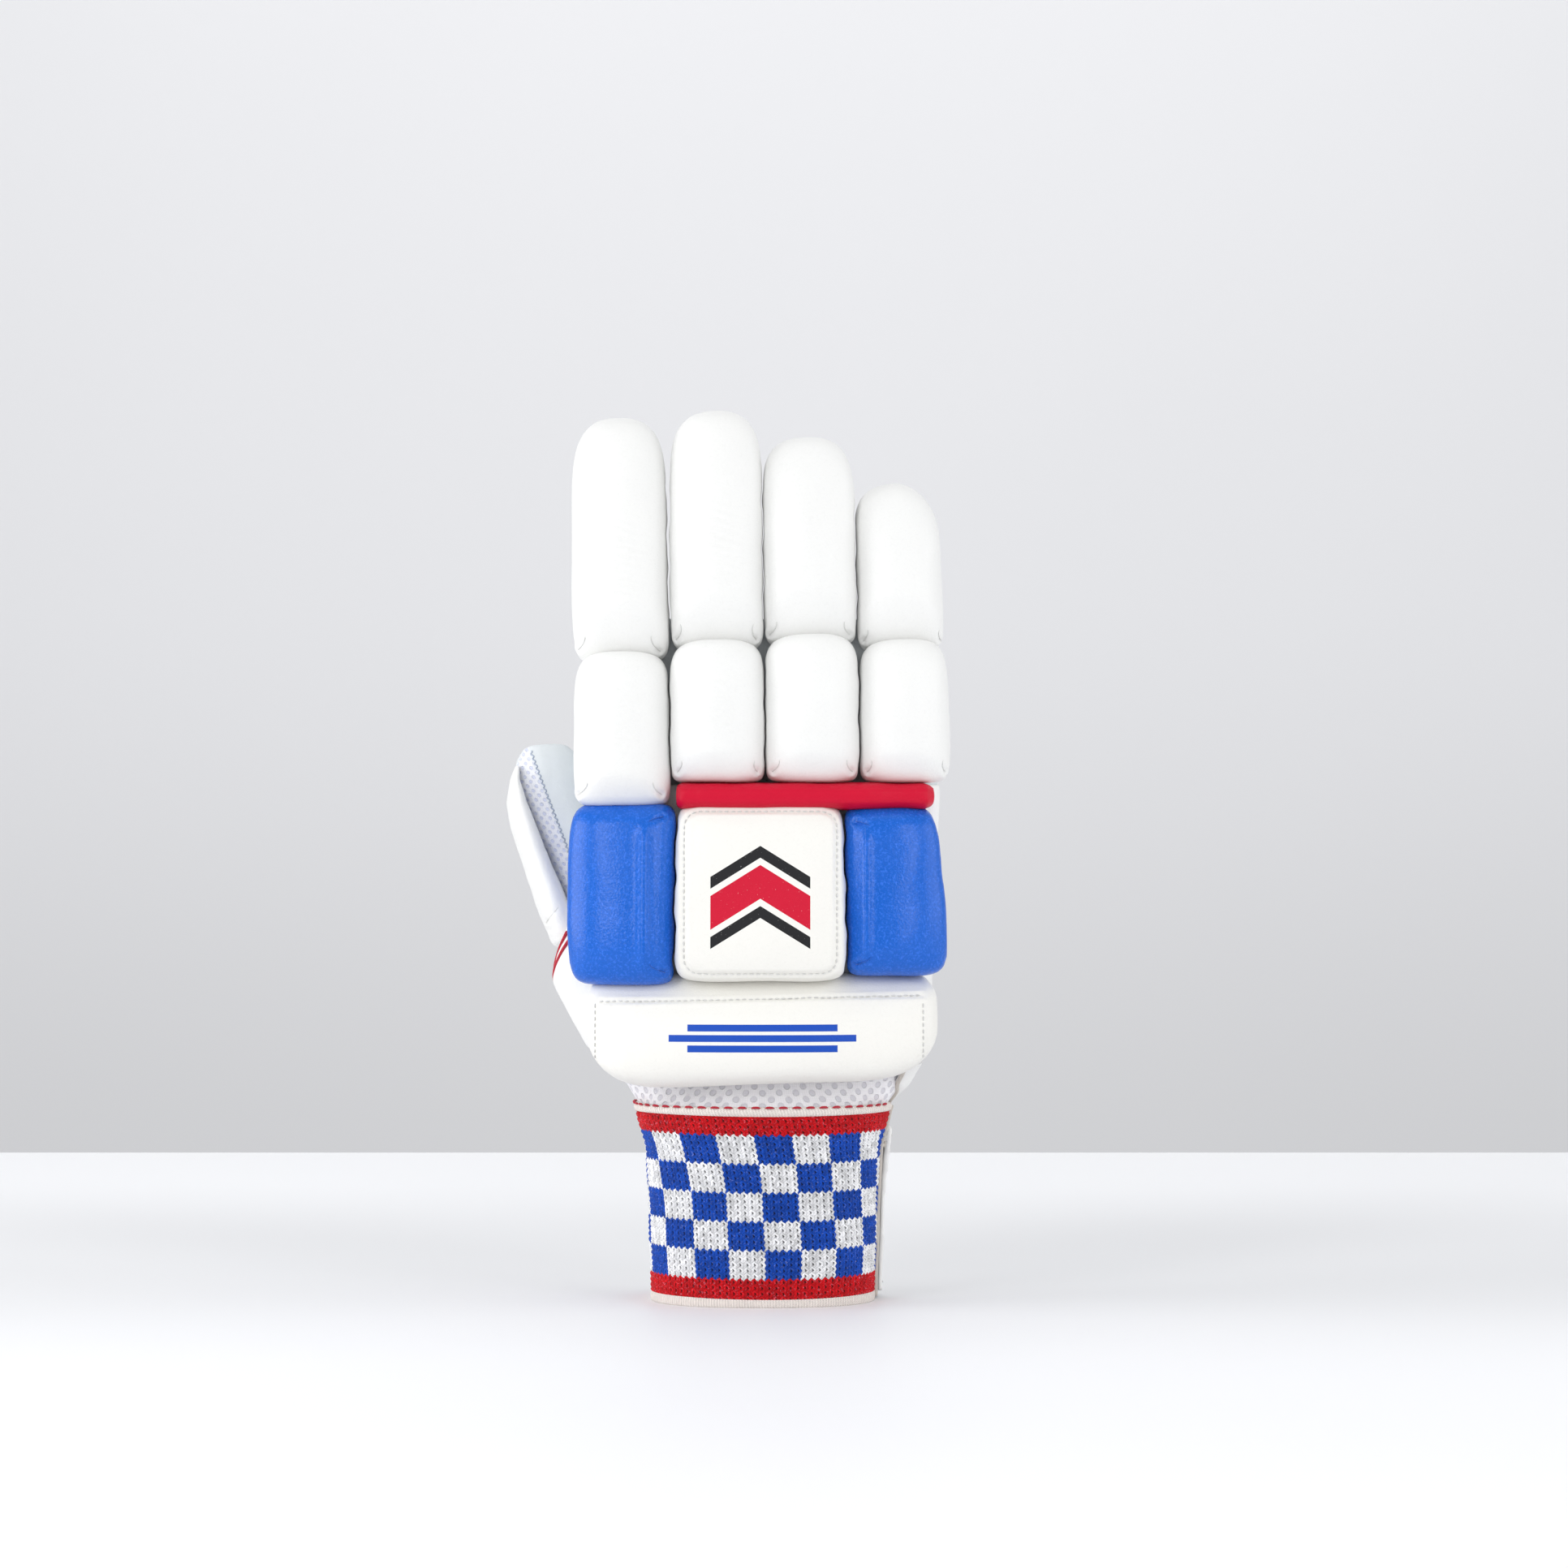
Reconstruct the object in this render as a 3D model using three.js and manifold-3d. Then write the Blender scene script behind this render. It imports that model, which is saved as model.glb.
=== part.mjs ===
// A right-hand cricket batting glove that stands upright on its wrist cuff.
// Millimetres, +Z up. The back of the hand faces -Y and the thumb is on the -X side.
// The glove is centred on its own box in X and Y, and the foot of the cuff is at Z = 0.
import * as THREE from 'three';
import { mergeVertices } from 'three/addons/utils/BufferGeometryUtils.js';
import Module from 'manifold-3d';

const wasm = await Module();
wasm.setup();

// Walls and clearances
const CLEARANCE = 0.3;
const LEATHER = 1.8;
const BAND_WALL = 2.6;
const STRAP_WALL = 1.8;

// Wrist cuff: an oval knitted band, open at the palm, closed by a strap
const CUFF_HEIGHT = 63;
const CUFF_HALF_WIDTH = 38.5;
const CUFF_HALF_DEPTH = 30;
const CUFF_SQUARE = 2.3;
const CUFF_OFFSET_X = -0.6;
const BAND_OVERLAP = 6;
const BAND_GAP_DEG = 34;
const STRAP_HEIGHT = 54;
const STRAP_RISE = 2;
const STRAP_REACH_DEG = 150;
const STRAP_TAB_DEG = 22;
const BINDING_WIDTH_DEG = 3;
const BINDING_PROUD = 0.8;

// Hand: one hollow form, narrow at the wrist and flat at the knuckles
const KNUCKLE_HEIGHT = 165;
const HAND_WIDTH = 121;
const HAND_DEPTH = 50;
const HAND_OFFSET_X = -1;
const HAND_SETBACK = 4;

// Fingers: a stall, which is the tube that a finger goes in, and two padded rolls
const STALL_WIDTH_SHARE = 0.84;
const STALL_DEPTH = 24;
const TIP_COVER = 4.8;
const FINGER_CURL_DEG = 22;
const FINGER_SQUARE = 2.5;
const ROLL_GAP = -0.2;
const LOWER_ROLL_LENGTH = 47;
const LOWER_ROLL_THICK = 21;
const UPPER_ROLL_LENGTH = 74;
const UPPER_ROLL_THICK = 20;
const ROLL_BREAK = 0.8;

// Back of the hand: three pads, a bar over the knuckles and a guard over the wrist
const BACK_PAD_THICK = 19;
const BAR_HEIGHT = 8;
const BAR_THICK = 17;
const GUARD_RISE = 8;
const GUARD_HEIGHT = 31.5;
const GUARD_THICK = 15;

// Thumb: a stall and one padded roll on its outer side
const THUMB_LENGTH = 80;
const THUMB_WIDTH = 25;
const THUMB_DEPTH = 22;
const THUMB_ROLL_LENGTH = 57;
const THUMB_ROLL_WIDTH = 27;
const THUMB_ROLL_THICK = 11;
const THUMB_LEAN_DEG = 16;
const THUMB_BACK_DEG = 6;
const THUMB_BOW = 5;

// Two thin lines of piping on the thumb side of the hand
const PIPING_RADIUS = 0.6;
const PIPING_GAP_DEG = 9;

const white = { color: 0xf2f2ef, roughness: 0.42, metalness: 0 };
const MATERIALS = {
  white_leather: white,
  blue_leather: { color: 0x0b4fc4, roughness: 0.38, metalness: 0 },
  red_leather: { color: 0xc40a2c, roughness: 0.42, metalness: 0 },
  palm_leather: { color: 0xdde3e6, roughness: 0.6, metalness: 0 },
  mesh_fabric: { color: 0xeeeef3, roughness: 0.85, metalness: 0 },
  knit_band: { color: 0x3f66c0, roughness: 0.9, metalness: 0 },
  strap_leather: white,
  binding: { color: 0xe8e0d4, roughness: 0.8, metalness: 0 },
  piping: { color: 0xc8102e, roughness: 0.5, metalness: 0 },
};
const GUARD_FOOT = CUFF_HEIGHT + GUARD_RISE;
const GUARD_TOP = GUARD_FOOT + GUARD_HEIGHT;
const BACK_PAD_FOOT = GUARD_TOP + 2 * ROLL_BREAK;
const finishes = Object.fromEntries(
  Object.entries(MATERIALS).map(([slot, look]) => [slot, new THREE.MeshStandardMaterial(look)]),
);

const radians = THREE.MathUtils.degToRad;
const mix = THREE.MathUtils.lerp;
const signedPower = (value, exponent) => Math.sign(value) * Math.abs(value) ** exponent;

// A row of a table at any place along it: each column is read off between its two nearest rows.
function readTable(rows, at) {
  const next = Math.max(1, rows.findIndex((row) => row.at >= at));
  const [low, high] = at > rows.at(-1).at ? rows.slice(-2) : [rows[next - 1], rows[next]];
  const share = THREE.MathUtils.clamp((at - low.at) / (high.at - low.at), 0, 1);
  const eased = THREE.MathUtils.smoothstep(share, 0, 1);
  return Object.fromEntries(Object.keys(low).map((key) => [key, mix(low[key], high[key], eased)]));
}

// Joins rings of equal size into one closed skin. A looped skin joins its last ring to its first,
// and any other is closed by a fan over its first and its last ring.
function skin(rings, looped = false) {
  const size = rings[0].length;
  const points = rings.flat();
  const faces = [];
  const bands = looped ? rings.length : rings.length - 1;
  for (let band = 0; band < bands; band++) {
    const low = band * size;
    const high = ((band + 1) % rings.length) * size;
    for (let i = 0; i < size; i++) {
      const j = (i + 1) % size;
      faces.push(low + i, low + j, high + j, low + i, high + j, high + i);
    }
  }
  if (!looped) {
    const last = (rings.length - 1) * size;
    const lowHub = points.push(middle(rings[0])) - 1;
    const highHub = points.push(middle(rings.at(-1))) - 1;
    for (let i = 0; i < size; i++) {
      const j = (i + 1) % size;
      faces.push(lowHub, j, i, highHub, last + i, last + j);
    }
  }
  const geometry = new THREE.BufferGeometry().setFromPoints(points);
  geometry.setIndex(faces);
  return volumeOf(geometry) < 0 ? flipped(geometry) : geometry;
}

function middle(ring) {
  return ring.reduce((sum, point) => sum.add(point), new THREE.Vector3()).divideScalar(ring.length);
}

function volumeOf(geometry) {
  const { index } = geometry;
  const corner = [0, 1, 2].map(() => new THREE.Vector3());
  let volume = 0;
  for (let i = 0; i < index.count; i += 3) {
    corner.forEach((c, k) => c.fromBufferAttribute(geometry.attributes.position, index.getX(i + k)));
    volume += corner[0].dot(corner[1].cross(corner[2])) / 6;
  }
  return volume;
}

function flipped(geometry) {
  geometry.setIndex([...geometry.index.array].reverse());
  return geometry;
}

function solidOf(geometry) {
  const bare = geometry.clone();
  bare.deleteAttribute('normal');
  bare.deleteAttribute('uv');
  const merged = mergeVertices(bare, 1e-4);
  return new wasm.Manifold(new wasm.Mesh({
    numProp: 3,
    vertProperties: new Float32Array(merged.attributes.position.array),
    triVerts: new Uint32Array(merged.index.array),
  }));
}

function geometryOf(solid) {
  const { vertProperties, triVerts } = solid.getMesh();
  const geometry = new THREE.BufferGeometry();
  geometry.setAttribute('position', new THREE.BufferAttribute(vertProperties, 3));
  geometry.setIndex(new THREE.BufferAttribute(triVerts, 1));
  return geometry;
}

// A named sub-part, with its own origin at the middle of its box.
function piece(name, slot, geometry) {
  geometry.computeBoundingBox();
  const centre = geometry.boundingBox.getCenter(new THREE.Vector3());
  geometry.translate(-centre.x, -centre.y, -centre.z);
  geometry.computeVertexNormals();
  const mesh = new THREE.Mesh(geometry, finishes[slot].clone());
  mesh.name = name;
  mesh.position.copy(centre);
  return mesh;
}

function groupOf(...pieces) {
  const group = new THREE.Group();
  group.add(...pieces.flat());
  return group;
}

// One oval ring: reach holds how far it goes to the left, right, front and back of its centre,
// and square is 2 for an ellipse and more for a boxier form.
function oval({ centre, across, out }, { left, right, front, back }, square, sides) {
  return Array.from({ length: sides }, (_, i) => {
    const turn = (i / sides) * 2 * Math.PI;
    const x = signedPower(Math.cos(turn), 2 / square);
    const y = signedPower(Math.sin(turn), 2 / square);
    return centre.clone()
      .addScaledVector(across, x * (x < 0 ? left : right))
      .addScaledVector(out, y * (y < 0 ? back : front));
  });
}

// The cuff's waist: at is a share of its height, wide and deep are shares of its half sizes.
const CUFF_SECTIONS = [
  { at: 0, wide: 1.00, deep: 1.00 },
  { at: 0.45, wide: 0.97, deep: 0.98 },
  { at: 0.80, wide: 1.00, deep: 1.00 },
  { at: 1, wide: 1.09, deep: 1.05 },
];

// The cuff's outer face, as an angle round it from the little-finger side towards the back of the
// hand, a height, and a distance outwards.
function onCuff(angle, height, out) {
  const { wide, deep } = readTable(CUFF_SECTIONS, height / CUFF_HEIGHT);
  const halfWidth = wide * CUFF_HALF_WIDTH + out;
  const halfDepth = deep * CUFF_HALF_DEPTH + out;
  return new THREE.Vector3(
    CUFF_OFFSET_X + halfWidth * signedPower(Math.cos(angle), 2 / CUFF_SQUARE),
    -halfDepth * signedPower(Math.sin(angle), 2 / CUFF_SQUARE),
    height,
  );
}

// A band round the cuff between two angles. Each row of the profile is one corner of its section.
function cuffSweep(fromDeg, toDeg, steps, profileAt) {
  return skin(Array.from({ length: steps + 1 }, (_, i) => {
    const share = i / steps;
    const angle = radians(mix(fromDeg, toDeg, share));
    return profileAt(share).map(({ height, out }) => onCuff(angle, height, out));
  }));
}

function knitBand() {
  const top = CUFF_HEIGHT;
  const profile = [
    { height: 0, out: 0 },
    ...[0.22, 0.45, 0.62, 0.80, 0.97].map((at) => ({ height: at * top, out: 0 })),
    { height: top, out: -0.6 },
    { height: top, out: -BAND_WALL },
    ...[0.80, 0.62, 0.45, 0.22].map((at) => ({ height: at * top, out: -BAND_WALL })),
    { height: 0, out: -BAND_WALL },
  ];
  return piece('knit_band', 'knit_band', cuffSweep(0, 360 - BAND_GAP_DEG, 44, () => profile));
}

function bandBinding() {
  const heights = [0.01, 0.22, 0.45, 0.62, 0.80, 1].map((at) => at * CUFF_HEIGHT);
  const profile = [
    ...heights.map((height) => ({ height, out: BINDING_PROUD })),
    ...heights.reverse().map((height) => ({ height, out: -BAND_WALL })),
  ];
  const from = -BINDING_WIDTH_DEG - 0.6;
  return piece('band_binding', 'binding', cuffSweep(from, -0.6, 2, () => profile));
}

// The strap starts behind the binding, crosses the palm and laps over the far end of the band.
function wristStrap() {
  const start = -BINDING_WIDTH_DEG - 2;
  const half = STRAP_HEIGHT / 2;
  const inner = 3 * CLEARANCE;
  const profileAt = (share) => {
    const leftInTab = Math.min(1, ((1 - share) * STRAP_REACH_DEG) / STRAP_TAB_DEG);
    const reach = half * Math.sqrt(1 - (1 - leftInTab) ** 2 * 0.75);
    const heights = [-1, -0.5, 0, 0.5, 1].map((side) => STRAP_RISE + half + side * reach);
    return [
      ...heights.map((height) => ({ height, out: inner + STRAP_WALL })),
      ...heights.reverse().map((height) => ({ height, out: inner })),
    ];
  };
  return piece('wrist_strap', 'strap_leather', cuffSweep(start, -STRAP_REACH_DEG, 22, profileAt));
}

// The hand's outline. at is the share of the height from the cuff's top to the knuckles, left and
// right are shares of half the hand's width, and front and back are shares of its depth.
const HAND_SECTIONS = [
  { at: 0.06, left: 0.71, right: 0.77, front: 0.56, back: 0.58, square: 2.2 },
  { at: 0.12, left: 0.81, right: 0.83, front: 0.53, back: 0.59, square: 2.2 },
  { at: 0.19, left: 0.94, right: 0.89, front: 0.50, back: 0.60, square: 2.2 },
  { at: 0.27, left: 1.01, right: 0.92, front: 0.47, back: 0.61, square: 2.3 },
  { at: 0.40, left: 1.10, right: 0.92, front: 0.40, back: 0.60, square: 2.4 },
  { at: 0.58, left: 1.05, right: 0.93, front: 0.34, back: 0.53, square: 2.5 },
  { at: 0.76, left: 1.01, right: 0.94, front: 0.29, back: 0.41, square: 2.8 },
];

const KNUCKLE_SHELF = 0.93;

// The hand's size at a height. The foot sits inside the band, and the top matches the stalls.
function handSection(height) {
  const cuff = readTable(CUFF_SECTIONS, Math.min(1, height / CUFF_HEIGHT));
  const footWidth = cuff.wide * CUFF_HALF_WIDTH - BAND_WALL - 1.5 * CLEARANCE;
  const footDepth = cuff.deep * CUFF_HALF_DEPTH - BAND_WALL - 1.5 * CLEARANCE;
  const half = HAND_WIDTH / 2;
  const palm = STALL_DEPTH / 2 + LEATHER;
  const foot = {
    at: 0, left: footWidth, right: footWidth, front: footDepth, back: footDepth,
    square: CUFF_SQUARE, shiftX: CUFF_OFFSET_X, shiftY: 0,
  };
  const top = { left: half, right: 0.955 * half, front: STALL_DEPTH / 2, back: palm, square: 3.4 };
  const shifts = { shiftX: HAND_OFFSET_X, shiftY: HAND_SETBACK };
  const rows = [
    foot,
    ...HAND_SECTIONS.map((row) => ({
      at: row.at,
      left: row.left * half,
      right: row.right * half,
      front: row.front * HAND_DEPTH,
      back: row.back * HAND_DEPTH,
      square: row.square,
      ...shifts,
    })),
    { at: KNUCKLE_SHELF, ...top, ...shifts },
    { at: 1, ...top, ...shifts },
  ];
  return readTable(rows, Math.max(0, (height - CUFF_HEIGHT) / (KNUCKLE_HEIGHT - CUFF_HEIGHT)));
}

const FRONT = new THREE.Vector3(0, -1, 0);
const RIGHT = new THREE.Vector3(1, 0, 0);
const UP = new THREE.Vector3(0, 0, 1);

function handRing(height, offset, sides) {
  const { left, right, front, back, square, shiftX, shiftY } = handSection(height);
  const frame = { centre: new THREE.Vector3(shiftX, shiftY, height), across: RIGHT, out: FRONT };
  const reach = { left: left + offset, right: right + offset, front: front + offset, back: back + offset };
  return oval(frame, reach, square, sides);
}

// A point on the back of the hand at a place across and up, moved out along the level normal.
function onHand(x, height, out, section = handSection(height)) {
  const { left, right, front, square, shiftX, shiftY } = section;
  const side = x < shiftX ? left : right;
  const share = THREE.MathUtils.clamp((x - shiftX) / side, -0.985, 0.985);
  const depth = (1 - Math.abs(share) ** square) ** (1 / square);
  const normal = new THREE.Vector3(
    signedPower(share, square - 1) / side,
    -(depth ** (square - 1)) / front,
    0,
  ).normalize();
  const onSkin = new THREE.Vector3(shiftX + share * side, shiftY - depth * front, height);
  return onSkin.addScaledVector(normal, out);
}

const HAND_SIDES = 44;
const HAND_STEPS = [0, ...HAND_SECTIONS.map(({ at }) => at), KNUCKLE_SHELF, 1];

// The hand as a solid form, grown by offset all over but for its foot, which stays at footHeight.
function handForm(offset, footHeight) {
  const heights = HAND_STEPS.map((at) => mix(CUFF_HEIGHT, KNUCKLE_HEIGHT, at));
  heights[heights.length - 1] += offset;
  return skin([footHeight, ...heights].map((height) => handRing(height, offset, HAND_SIDES)));
}

// Shares of the hand's width, from the thumb side. lower and upper are shares of the roll lengths,
// foot is the lower roll's height over the knuckles and lag sets the finger back, both in stall
// depths. The finger faces yaw degrees to the side, and lean is its tip's shift as a share of it.
const FINGERS = [
  { name: 'index', width: 0.262, lower: 1.00, upper: 1.01, foot: -0.15, lag: 0.06, yaw: -3, lean: -0.02 },
  { name: 'middle', width: 0.2475, lower: 0.92, upper: 0.99, foot: 0.16, lag: 0.00, yaw: -1, lean: -0.01 },
  { name: 'ring', width: 0.2475, lower: 0.95, upper: 0.85, foot: 0.16, lag: 0.02, yaw: 1, lean: -0.015 },
  { name: 'little', width: 0.243, lower: 0.91, upper: 0.68, foot: 0.16, lag: 0.10, yaw: 3, lean: -0.018 },
];

let edge = HAND_OFFSET_X - HAND_WIDTH / 2;
for (const finger of FINGERS) {
  finger.span = finger.width * HAND_WIDTH;
  finger.x = edge + finger.span / 2;
  edge += finger.span;
  finger.lowerFoot = finger.foot * STALL_DEPTH;
  finger.lowerHead = finger.lowerFoot + finger.lower * LOWER_ROLL_LENGTH;
  finger.upperFoot = finger.lowerHead + ROLL_BREAK;
  finger.upperHead = finger.upperFoot + finger.upper * UPPER_ROLL_LENGTH;
  finger.length = finger.upperHead - TIP_COVER;
  finger.spine = curledSpine(finger);
}

// A finger's centre line: upright at the knuckle and curled towards the palm at the tip.
function curledSpine({ x, lag, yaw, lean, upperHead }) {
  const root = new THREE.Vector3(x, HAND_SETBACK + lag * STALL_DEPTH, KNUCKLE_HEIGHT);
  const curl = radians(FINGER_CURL_DEG);
  const tip = new THREE.Vector3(0, Math.sin(curl * 0.5), Math.cos(curl * 0.5)).multiplyScalar(upperHead);
  const handle = upperHead * 0.34;
  const points = [
    new THREE.Vector3(),
    new THREE.Vector3(0, 0, handle),
    tip.clone().sub(new THREE.Vector3(0, Math.sin(curl), Math.cos(curl)).multiplyScalar(handle)),
    tip,
  ];
  points[2].x = 0.55 * lean * upperHead;
  points[3].x = lean * upperHead;
  for (const point of points) point.add(root);
  const curve = new THREE.CubicBezierCurve3(...points);
  const across = RIGHT.clone().applyAxisAngle(UP, radians(yaw));
  return { curve, across, length: upperHead };
}

// The frame on a spine at a distance from its root; below the root it runs on straight down.
function frameOn({ curve, across, length }, distance) {
  const share = THREE.MathUtils.clamp(distance / length, 0, 1);
  const along = curve.getTangentAt(share);
  const centre = curve.getPointAt(share).addScaledVector(along, distance - share * length);
  const side = across.clone().addScaledVector(along, -across.dot(along)).normalize();
  return { centre, across: side, out: new THREE.Vector3().crossVectors(side, along).normalize(), along };
}

// A stall's size along it: at is a share of its length, and the others are shares of its section.
const STALL_PROFILE = [
  { at: 0, wide: 1, deep: 1 },
  { at: 0.35, wide: 0.99, deep: 0.97 },
  { at: 0.62, wide: 0.96, deep: 0.90 },
  { at: 0.84, wide: 0.86, deep: 0.80 },
  { at: 0.93, wide: 0.70, deep: 0.64 },
  { at: 0.98, wide: 0.44, deep: 0.40 },
];
const STALL_SIDES = 14;

function stallReach(width, depth, share, offset) {
  const { wide, deep } = readTable(STALL_PROFILE, share);
  const halfWidth = (wide * width) / 2 + offset;
  const halfDepth = (deep * depth) / 2 + offset;
  return { left: halfWidth, right: halfWidth, front: halfDepth, back: halfDepth };
}

function stallRings(spine, length, width, depth, offset, start) {
  return STALL_PROFILE.map(({ at }, row) => {
    const distance = row === 0 ? start : at * length + offset * at;
    const reach = stallReach(width, depth, at, offset);
    return oval(frameOn(spine, distance), reach, FINGER_SQUARE, STALL_SIDES);
  });
}

// A tube closed at its tip and open at its root: the outer rings up, and the inner rings down.
function stallTube(spine, length, width, depth, start) {
  const outer = stallRings(spine, length, width, depth, 0, start);
  const inner = stallRings(spine, length, width, depth, -LEATHER, start);
  return skin([...inner.reverse(), ...outer]);
}

function stallForm(spine, length, width, depth, offset, start) {
  return skin(stallRings(spine, length, width, depth, offset, start));
}

const stallWidth = ({ span }) => span * STALL_WIDTH_SHARE;

// The forms of padded rolls. at is the share of the length, wide and thick are shares of the
// roll's own width and thickness.
const UPPER_ROLL = [
  { at: 0, wide: 0.84, thick: 0.66 },
  { at: 0.035, wide: 0.95, thick: 0.86 },
  { at: 0.12, wide: 0.99, thick: 0.98 },
  { at: 0.35, wide: 1, thick: 1 },
  { at: 0.62, wide: 0.985, thick: 0.96 },
  { at: 0.80, wide: 0.95, thick: 0.88 },
  { at: 0.90, wide: 0.84, thick: 0.76 },
  { at: 0.965, wide: 0.62, thick: 0.56 },
  { at: 1, wide: 0.30, thick: 0.34 },
];
const LOWER_ROLL = [
  { at: 0, wide: 0.86, thick: 0.64 },
  { at: 0.05, wide: 0.96, thick: 0.85 },
  { at: 0.20, wide: 1, thick: 0.98 },
  { at: 0.55, wide: 0.99, thick: 1 },
  { at: 0.84, wide: 0.97, thick: 0.97 },
  { at: 0.95, wide: 0.88, thick: 0.84 },
  { at: 1, wide: 0.72, thick: 0.62 },
];
const ROLL_SIDES = 16;
const ROLL_SQUARE = 2.7;

// A padded roll along a spine: flat on the side that lies on its carrier, and crowned outside.
function roll(spine, from, length, rows, width, thick, standAt) {
  return skin(rows.map((row) => {
    const distance = from + row.at * length;
    const frame = frameOn(spine, distance);
    frame.centre.addScaledVector(frame.out, standAt(distance));
    const half = (row.wide * width) / 2;
    return crownedRing(frame, half, row.thick * thick, ROLL_SIDES);
  }));
}

// A ring with a flat back and a crowned front.
function crownedRing(frame, half, thick, sides) {
  const waist = thick * 0.36;
  const raised = { ...frame, centre: frame.centre.clone().addScaledVector(frame.out, waist) };
  const reach = { left: half, right: half, front: thick - waist, back: waist };
  return oval(raised, reach, ROLL_SQUARE, sides);
}

function fingerPieces(finger) {
  const { name, spine, span, length } = finger;
  const width = stallWidth(finger);
  const tube = stallTube(spine, length, width, STALL_DEPTH, CLEARANCE);
  const standAt = (distance) =>
    stallReach(width, STALL_DEPTH, THREE.MathUtils.clamp(distance / length, 0, 0.7), 0).front + CLEARANCE;
  const rollWidth = span - ROLL_GAP;
  const rolls = [
    ['lower', finger.lowerFoot, finger.lowerHead, LOWER_ROLL, LOWER_ROLL_THICK],
    ['upper', finger.upperFoot, finger.upperHead, UPPER_ROLL, UPPER_ROLL_THICK],
  ];
  return groupOf(
    piece(`${name}_stall`, 'palm_leather', tube),
    rolls.map(([row, from, to, rows, thick]) => {
      const form = roll(spine, from, to - from, rows, rollWidth, thick, standAt);
      return piece(`${name}_${row}_roll`, 'white_leather', form);
    }),
  );
}

// Where the thumb starts: half is a share of half the hand's width, deep of its depth behind the
// seam, and at of the height from the cuff to the knuckles.
const THUMB_START = { half: 0.76, deep: 0.22, at: 0.39 };

// The thumb leans out from the thumb side of the palm, with its padded side facing outwards.
function thumbSpine() {
  const root = new THREE.Vector3(
    HAND_OFFSET_X - (THUMB_START.half * HAND_WIDTH) / 2,
    HAND_SETBACK + THUMB_START.deep * HAND_DEPTH,
    mix(CUFF_HEIGHT, KNUCKLE_HEIGHT, THUMB_START.at),
  );
  const lean = radians(THUMB_LEAN_DEG);
  const back = radians(THUMB_BACK_DEG);
  const along = new THREE.Vector3(-Math.sin(lean), Math.sin(back), Math.cos(lean)).normalize();
  const points = [0, 0.33, 0.67, 1].map((share) => {
    const bow = Math.sin(share ** 1.4 * Math.PI) * THUMB_BOW;
    return root.clone().addScaledVector(along, share * THUMB_LENGTH).addScaledVector(RIGHT, -bow);
  });
  const across = new THREE.Vector3(0.34, -0.94, 0).normalize();
  return { curve: new THREE.CatmullRomCurve3(points), across, length: THUMB_LENGTH };
}

const THUMB_ROLL = [
  { at: 0, wide: 0.80, thick: 0.86 },
  { at: 0.05, wide: 0.93, thick: 1 },
  { at: 0.25, wide: 1, thick: 1 },
  { at: 0.60, wide: 1, thick: 0.84 },
  { at: 0.80, wide: 0.93, thick: 0.66 },
  { at: 0.92, wide: 0.74, thick: 0.44 },
  { at: 1, wide: 0.42, thick: 0.24 },
];

function thumbPieces() {
  const spine = thumbSpine();
  const cutter = solidOf(handForm(CLEARANCE, CUFF_HEIGHT));
  const tube = solidOf(stallTube(spine, THUMB_LENGTH, THUMB_WIDTH, THUMB_DEPTH, 0));
  const stall = geometryOf(largest(tube.subtract(cutter)));
  const standAt = (distance) =>
    stallReach(THUMB_WIDTH, THUMB_DEPTH, THREE.MathUtils.clamp(distance / THUMB_LENGTH, 0, 0.75), 0).front
    + 2 * CLEARANCE;
  const from = THUMB_LENGTH - THUMB_ROLL_LENGTH - 2 * LEATHER;
  const form = roll(spine, from, THUMB_ROLL_LENGTH, THUMB_ROLL, THUMB_ROLL_WIDTH, THUMB_ROLL_THICK, standAt);
  const pad = geometryOf(solidOf(form).subtract(cutter));
  return groupOf(piece('thumb_stall', 'palm_leather', stall), piece('thumb_roll', 'white_leather', pad));
}

function largest(solid) {
  return solid.decompose().reduce((a, b) => (a.volume() > b.volume() ? a : b));
}

// The hollow hand, open at the wrist, with a hole for each finger and for the thumb. It is sewn
// from a back panel and a palm panel that meet at the sides.
function handPanels() {
  const footHeight = CUFF_HEIGHT - BAND_OVERLAP;
  const outer = solidOf(handForm(0, footHeight));
  const inner = solidOf(handForm(-LEATHER, footHeight - 1));
  let shell = outer.subtract(inner);
  for (const finger of FINGERS) {
    const { spine, length } = finger;
    const hole = stallForm(spine, length, stallWidth(finger), STALL_DEPTH, -LEATHER, -4 * LEATHER);
    shell = shell.subtract(solidOf(hole));
  }
  const thumbHole = stallForm(thumbSpine(), THUMB_LENGTH, THUMB_WIDTH, THUMB_DEPTH, -LEATHER, 0);
  shell = shell.subtract(solidOf(thumbHole));
  const reach = 2 * HAND_WIDTH;
  const half = new THREE.BoxGeometry(reach, reach, reach);
  const seam = HAND_SETBACK;
  const front = half.clone().translate(0, seam - (reach + CLEARANCE) / 2, reach / 2);
  const back = half.clone().translate(0, seam + (reach + CLEARANCE) / 2, reach / 2);
  return groupOf(
    piece('back_panel', 'mesh_fabric', geometryOf(largest(shell.intersect(solidOf(front))))),
    piece('palm_panel', 'palm_leather', geometryOf(largest(shell.intersect(solidOf(back))))),
  );
}

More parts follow.
